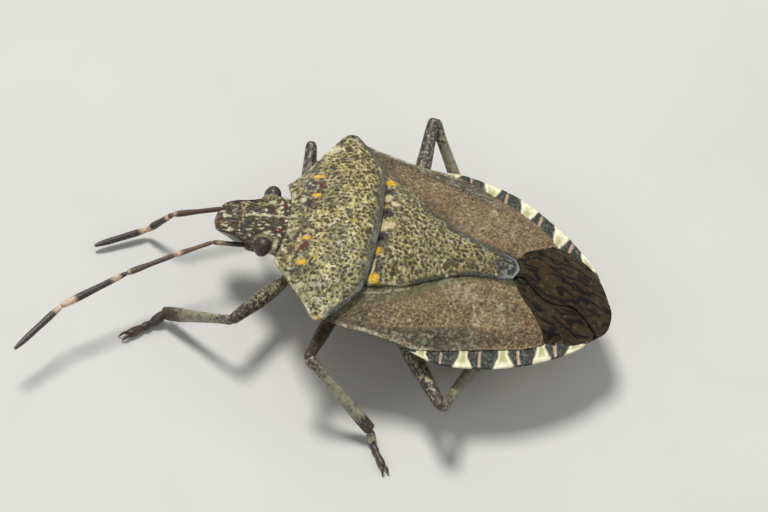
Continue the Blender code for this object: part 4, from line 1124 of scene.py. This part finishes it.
def make_eye_socket(looks, hand, word):
    """The collar that an eye sits in: dark and rough, with a pale rim behind the eye."""
    socket, t, turn = new_pod(f"eye_socket_{word}", 72, 56)
    ball = np.stack([np.sin(math.pi * t) * np.sin(turn), np.sin(math.pi * t) * np.cos(turn),
                     np.cos(math.pi * t)], -1)
    rough = ripple(np.stack([t * 3, turn], -1), 0.16, 81)
    fine = ripple(np.stack([t * 3, turn], -1), 0.09, 82)
    reach = np.array(EYE_SOCKET_REACH) * (1 + 0.05 * (rough[:, None] - 0.5))
    spots = ball * reach + np.array((SEEN_EYE_BEHIND + 0.02, hand * EYE_SOCKET_ASIDE, SEEN_EYE_UP))
    lay(socket, placed(tipped(*spots.T)))
    rear = ease(ball[:, 0], 0.3, 0.9)
    pale = np.maximum(0.8 * rear * ease(rough, 0.2, 0.5), 0.8 * ease(fine, 0.7, 0.82))
    mark(socket, pit=0, warm=0, frost=0, gold=0, pale=pale, red=0.3 * ease(rough, 0.3, 0.6) * (1 - pale),
         bruise=0.4 * (1 - pale), dark=0.7 * ease(fine, 0.3, 0.6) * (1 - pale), rust=0.5)
    turn_out(socket)
    dress(socket, looks["shell"], "head_brown")


def make_beak(looks):
    spots = [tipped(*spot) for spot in ((0.6, 0, -2.2), (1.3, 0, -2.42), (3.5, 0, -2.52),
                                        (5.3, 0, -2.6), (6.95, 0, -2.8))]
    line = path(*spots)
    radius = profile((0, 0.14), (0.08, 0.2), (0.24, 0.2), (0.28, 0.16), (0.32, 0.2), (0.52, 0.19),
                     (0.56, 0.15), (0.6, 0.19), (0.78, 0.17), (0.81, 0.13), (0.85, 0.15), (1, 0.07))
    beak = limb("rostrum_sheath", line, radius, 24, 110,
                masks=lambda t, turn: {"dark": 0.25 + 0.6 * ease(t, 0.8, 1), "warm": 0.4 * ease(t, 0.3, 0.9)})
    dress(beak, looks["leg"], "leg_speckled", "rostrum")


# The antennae

FEELERS = {
    "left": ((0.98, 1.4, 2.42), (0.95, 0.02, 2.55), (1.88, -1.22, 2.52), (3.12, -2.81, 2.4),
             (5.03, -4.87, 2.1), (7.08, -6.15, 1.7)),
    "right": ((-0.98, 1.4, 2.42), (-1.85, 1.3, 1.65), (-1.33, 0.27, 1.7), (-0.33, -1.61, 1.9),
              (-0.45, -2.37, 0.42), (0.75, -4.15, 0.3)),
}
FEELER_BANDS = (
    profile((0, 1), (0.4, 0.95), (0.6, 0.75), (0.75, 0.55), (0.88, 0.5), (0.95, 0.95), (1, 0.95)),
    profile((0, 0.3), (0.08, 0.8), (0.8, 0.85), (0.9, 0.15), (1, 0.1)),
    profile((0, 0.3), (0.06, 0.85), (0.5, 0.95), (0.92, 1), (0.97, 0.4), (1, 0.3)),
    profile((0, 0.8), (0.08, 0.95), (0.13, 0.2), (0.2, 0.2), (0.26, 0.95), (0.76, 1), (0.82, 0.1),
            (1, 0.05)),
    profile((0, 0.05), (0.11, 0.1), (0.18, 0.9), (0.9, 1), (1, 0.95)),
)
FEELER_WARMTH = (0.1, 0.6, 0.3, 0.0, 0.0)
FEELER_SHAPES = (
    profile((0, 0.075), (0.1, 0.085), (0.6, 0.09), (0.93, 0.088), (1, 0.07)),
    profile((0, 0.068), (0.06, 0.074), (0.5, 0.08), (0.95, 0.094), (1, 0.084)),
    profile((0, 0.07), (0.06, 0.082), (0.5, 0.093), (0.95, 0.105), (1, 0.09)),
    profile((0, 0.076), (0.07, 0.096), (0.4, 0.118), (0.93, 0.118), (1, 0.095)),
    profile((0, 0.08), (0.08, 0.106), (0.5, 0.12), (0.85, 0.102), (1, 0.055)),
)
FEELER_ROOT = (0.5, 1.72, 2.36)


def make_feelers(looks):
    for (word, joints), hand in zip(FEELERS.items(), (LEFT, RIGHT)):
        joints = [np.array(joint) for joint in joints]
        root = np.array(FEELER_ROOT) * (hand, 1, 1)
        toward = root + (joints[1] - root) * 0.32
        socket = limb(f"feeler_socket_{word}", straight(root, toward),
                      profile((0, 0.24), (0.6, 0.2), (1, 0.15)), 28, 24, cap=0.5,
                      masks=lambda t, turn: {"dark": 0.6, "warm": 0.35})
        dress(socket, looks["leg"], "head_brown")
        joints[0] = root + (joints[1] - root) * 0.28
        for k in range(5):
            band = FEELER_BANDS[k]
            warm = FEELER_WARMTH[k]
            feeler = limb(f"feeler_{word}_{k + 1}", straight(joints[k], joints[k + 1]),
                          FEELER_SHAPES[k], 24, 60, cap=0.45,
                          masks=lambda t, turn, band=band, warm=warm: {
                              "dark": band(t), "warm": warm * band(t)})
            dress(feeler, looks["feeler"], "feeler_brown", f"antenna_{word}_{k + 1}")


# The legs

LEGS = {
    "fore_left": ((0.97, 3.2, 1.75), (4.05, 1.3, 2.4), (3.11, -1.06, 0.5), (4.42, -2.45, 0.0)),
    "mid_left": ((1.0, 5.3, 1.5), (5.34, 4.24, 3.03), (6.04, 7.19, 0.5), (7.55, 8.1, 0.0)),
    "hind_left": ((1.35, 6.95, 1.35), (5.8, 9.42, 2.63), (1.9, 10.7, 0.5), (0.8, 12.3, 0.0)),
    "fore_right": ((-1.1, 3.35, 1.72), (-4.14, 2.82, 3.2), (-3.2, 3.6, 0.5), (-4.6, 2.9, 0.0)),
    "mid_right": ((-1.1, 5.45, 1.5), (-4.95, 4.9, 2.1), (-5.65, 8.1, 0.5), (-6.15, 9.85, 0.0)),
    "hind_right": ((-1.35, 7.15, 1.35), (-6.44, 7.17, 3.4), (-4.27, 9.62, 0.5), (-3.9, 11.4, 0.0)),
}
SOLE_UP = 0.14
CLAW_LENGTH = 0.3
CLAW_SPREAD = 0.12

femur_shape = profile((0, 0.2), (0.06, 0.24), (0.3, 0.32), (0.55, 0.33), (0.8, 0.27), (0.93, 0.24),
                      (1, 0.2))
tibia_shape = profile((0, 0.17), (0.05, 0.21), (0.14, 0.19), (0.5, 0.2), (0.9, 0.23), (1, 0.22))
fore_tibia_shape = profile((0, 0.17), (0.05, 0.21), (0.14, 0.2), (0.5, 0.24), (0.9, 0.3), (1, 0.28))
THIGH_SHARES = {"fore": 0.88, "mid": 0.82, "hind": 0.95}
SHIN_SHARES = {"fore": 1.0, "mid": 1.1, "hind": 1.2}
FOOT_SHARES = {"fore": 0.84, "mid": 0.74, "hind": 0.76}
tarsus_shape = profile((0, 0.15), (0.06, 0.19), (0.32, 0.2), (0.38, 0.155), (0.42, 0.16),
                       (0.5, 0.19), (0.56, 0.18), (0.6, 0.145), (0.66, 0.16), (0.85, 0.2), (1, 0.17))


def unit(vector):
    return vector / np.linalg.norm(vector)


def tarsus_spots(ankle, toe):
    """The foot's line: down from the ankle, then along the floor to where the claws begin."""
    ankle = np.array(ankle)
    toe = np.array(toe)
    ahead = unit((toe - ankle) * np.array([1.0, 1.0, 0.0]))
    end = toe - ahead * CLAW_LENGTH + np.array([0.0, 0.0, SOLE_UP])
    spots = []
    for t in np.linspace(0, 1, 9):
        at = ankle + (end - ankle) * t
        at[2] = SOLE_UP + 0.03 + (ankle[2] - SOLE_UP) * max(0.0, 1 - t / 0.45) ** 2
        spots.append(at)
    return spots, end, ahead


def make_legs(looks):
    for word, (coxa, knee, ankle, toe) in LEGS.items():
        coxa = np.array(coxa)
        knee = np.array(knee)
        ankle = np.array(ankle)
        along = unit(knee - coxa)
        into = coxa + np.array([-0.25 * np.sign(coxa[0]), 0.0, 0.45])
        hip = limb(f"hip_{word}", path(into, coxa, coxa + along * 0.55),
                   profile((0, 0.3), (0.35, 0.42), (0.62, 0.34), (0.72, 0.24), (0.9, 0.27), (1, 0.2)),
                   36, 44, masks=lambda t, turn: {"dark": 0.42, "warm": 0.1})
        dress(hip, looks["leg"], "underside_buff", f"coxa_{word}")
        pair = word.split("_")[0]
        fore = pair == "fore"
        share = THIGH_SHARES[pair]
        # The middle thighs get a stronger dark mask than the others: painted shade of the body over them.
        thigh = limb(f"thigh_{word}", straight(coxa + along * 0.45, knee + along * 0.06),
                     lambda t, share=share: femur_shape(t) * share, 40, 90, cap=0.8,
                     masks=lambda t, turn, pair=pair: {
                         "dark": (0.56 if pair == "mid" else 0.49) + 0.1 * ease(t, 0.2, 0.95),
                         "warm": 0.3 * ease(t, 0.88, 1)})
        dress(thigh, looks["leg"], "leg_speckled", f"femur_{word}")
        red = 0.85 if fore else 0.4
        shape = fore_tibia_shape if fore else tibia_shape
        shin = limb(f"shin_{word}", straight(knee, ankle),
                    lambda t, shape=shape, pair=pair: shape(t) * SHIN_SHARES[pair],
                    30, 90, flat=0.72 if fore else 0.9, cap=0.2 if fore else 0.35,
                    angles=0.06, masks=lambda t, turn, red=red, fore=fore: {
                        "dark": 0.5 - 0.2 * ease(t, 0.12, 0.35) + 0.32 * ease(t, 0.58 if fore else 0.74, 0.88),
                        "warm": red * ease(t, 0.64 if fore else 0.8, 0.9) + 0.3 * (1 - ease(t, 0.03, 0.12))})
        dress(shin, looks["leg"], "leg_speckled", f"tibia_{word}")
        spots, end, ahead = tarsus_spots(ankle, toe)
        foot = limb(f"foot_{word}", path(*spots), lambda t, pair=pair: tarsus_shape(t) * FOOT_SHARES[pair], 28, 90, cap=0.6,
                    masks=lambda t, turn, fore=fore: {
                        "dark": 0.7 if fore else 0.5 - 0.2 * ease(t, 0.1, 0.2) + 0.5 * ease(t, 0.25, 0.4),
                        "warm": 0.25 * ease(t, 0.3, 0.5)})
        dress(foot, looks["leg"], "foot_dark", f"tarsus_{word}")
        side = np.array([-ahead[1], ahead[0], 0.0])
        for hand, place in ((LEFT, "outer"), (RIGHT, "inner")):
            root = end - ahead * 0.12 + side * hand * 0.05 + np.array([0.0, 0.0, 0.05])
            bow = end + ahead * CLAW_LENGTH * 0.5 + side * hand * CLAW_SPREAD * 0.8
            bow[2] += 0.08
            tip = end + ahead * CLAW_LENGTH + side * hand * CLAW_SPREAD
            tip[2] = 0.03
            claw = limb(f"claw_{word}_{place}", path(root, bow, tip),
                        profile((0, 0.065), (0.4, 0.055), (0.8, 0.032), (1, 0.012)), 14, 26,
                        masks=lambda t, turn: {"dark": ease(t, 0.2, 0.6)})
            dress(claw, looks["horn"], "foot_dark")


# The floor, the light and the camera

CAMERA_AIM = (0.0, 7.5, 2.4)
CAMERA_DISTANCE = 180.0
CAMERA_TURN = math.radians(-7.862)
CAMERA_LIFT = math.radians(53.3095)
CAMERA_ROLL = math.radians(20.042)
LENS_PIXELS = 4852.5
PICTURE_WIDTH = 768
PICTURE_HEIGHT = 512
MIDDLE_ACROSS = 412.44
MIDDLE_DOWN = 272.01
SENSOR = 36.0


def make_camera():
    """A long lens at the photograph's angle, aimed so that no shift is needed."""
    level = math.cos(CAMERA_LIFT)
    back = Vector((math.cos(CAMERA_TURN) * level, math.sin(CAMERA_TURN) * level,
                   math.sin(CAMERA_LIFT)))
    forward = -back
    flat_right = forward.cross(Vector((0, 0, 1))).normalized()
    flat_up = flat_right.cross(forward)
    right = math.cos(CAMERA_ROLL) * flat_right + math.sin(CAMERA_ROLL) * flat_up
    over = -math.sin(CAMERA_ROLL) * flat_right + math.cos(CAMERA_ROLL) * flat_up
    across = (PICTURE_WIDTH / 2 - MIDDLE_ACROSS) / LENS_PIXELS
    down = (PICTURE_HEIGHT / 2 - MIDDLE_DOWN) / LENS_PIXELS
    aim = (forward + right * across - over * down).normalized()
    right = (right - aim * right.dot(aim)).normalized()
    over = right.cross(aim)
    bpy.ops.object.camera_add()
    camera = bpy.context.object
    camera.name = "camera"
    turned = camera.matrix_world.to_3x3()
    for row in range(3):
        turned[row] = (right[row], over[row], -aim[row])
    place = turned.to_4x4()
    place.translation = Vector(placed(np.array(CAMERA_AIM))) + back * CAMERA_DISTANCE * MM
    camera.matrix_world = place
    camera.data.sensor_width = SENSOR
    camera.data.lens = LENS_PIXELS / PICTURE_WIDTH * SENSOR
    camera.data.clip_start = 0.005
    camera.data.clip_end = 5
    bpy.context.scene.camera = camera


def make_floor():
    look = Look("pale_floor", 0.85)
    look.colour(look.mix(look.between(look.noise(12, 3), 0.4, 0.6), (0.53, 0.53, 0.51),
                         (0.55, 0.55, 0.53)))
    put_away()
    bpy.ops.mesh.primitive_plane_add(size=3)
    floor = named("floor")
    floor.data.materials.append(look.material)


def make_light(name, towards, distance, size, power, colour=(1, 1, 1)):
    bpy.ops.object.light_add(type="AREA")
    lamp = bpy.context.object
    lamp.name = name
    lamp.data.shape = "DISK"
    lamp.data.size = size
    lamp.data.energy = power
    lamp.data.color = colour
    direction = Vector(towards).normalized()
    lamp.location = direction * distance
    lamp.rotation_euler = direction.to_track_quat("Z", "Y").to_euler()


def make_studio():
    bpy.context.scene.view_settings.view_transform = "Standard"
    make_light("key", (-0.3, -0.38, 1.0), 0.5, 0.14, 2.5, (1.0, 0.98, 0.94))
    make_light("fill", (0.9, -0.5, 0.8), 0.6, 0.4, 0.5, (0.95, 0.97, 1.0))
    make_light("back", (-0.2, 1.0, 0.7), 0.6, 0.4, 0.5)
    world = bpy.data.worlds.new("studio")
    world.use_nodes = True
    shade = world.node_tree.nodes["Background"]
    shade.inputs["Color"].default_value = (0.95, 0.97, 1.0, 1.0)
    shade.inputs["Strength"].default_value = 0.35
    bpy.context.scene.world = world


def glint_look():
    look = Look("ocellus_glass", 0.12, coat=0.6, coat_roughness=0.05)
    look.colour(look.mix(look.between(look.noise(0.08, 2), 0.4, 0.6), (0.12, 0.008, 0.008),
                         (0.28, 0.02, 0.014)))
    return look.material


def main():
    make_camera()
    make_studio()
    make_floor()
    looks = {
        "shell": shell_look(),
        "leather": leather_look(),
        "membrane": membrane_look(),
        "rim": rim_look(),
        "under": under_look(),
        "eye": eye_look(),
        "glint": glint_look(),
        "leg": limb_look(),
        "feeler": feeler_look(),
        "horn": horn_look(),
    }
    make_plates(looks)
    make_trunk(looks)
    make_head(looks)
    make_beak(looks)
    make_feelers(looks)
    make_legs(looks)


main()

bpy.context.view_layer.update()
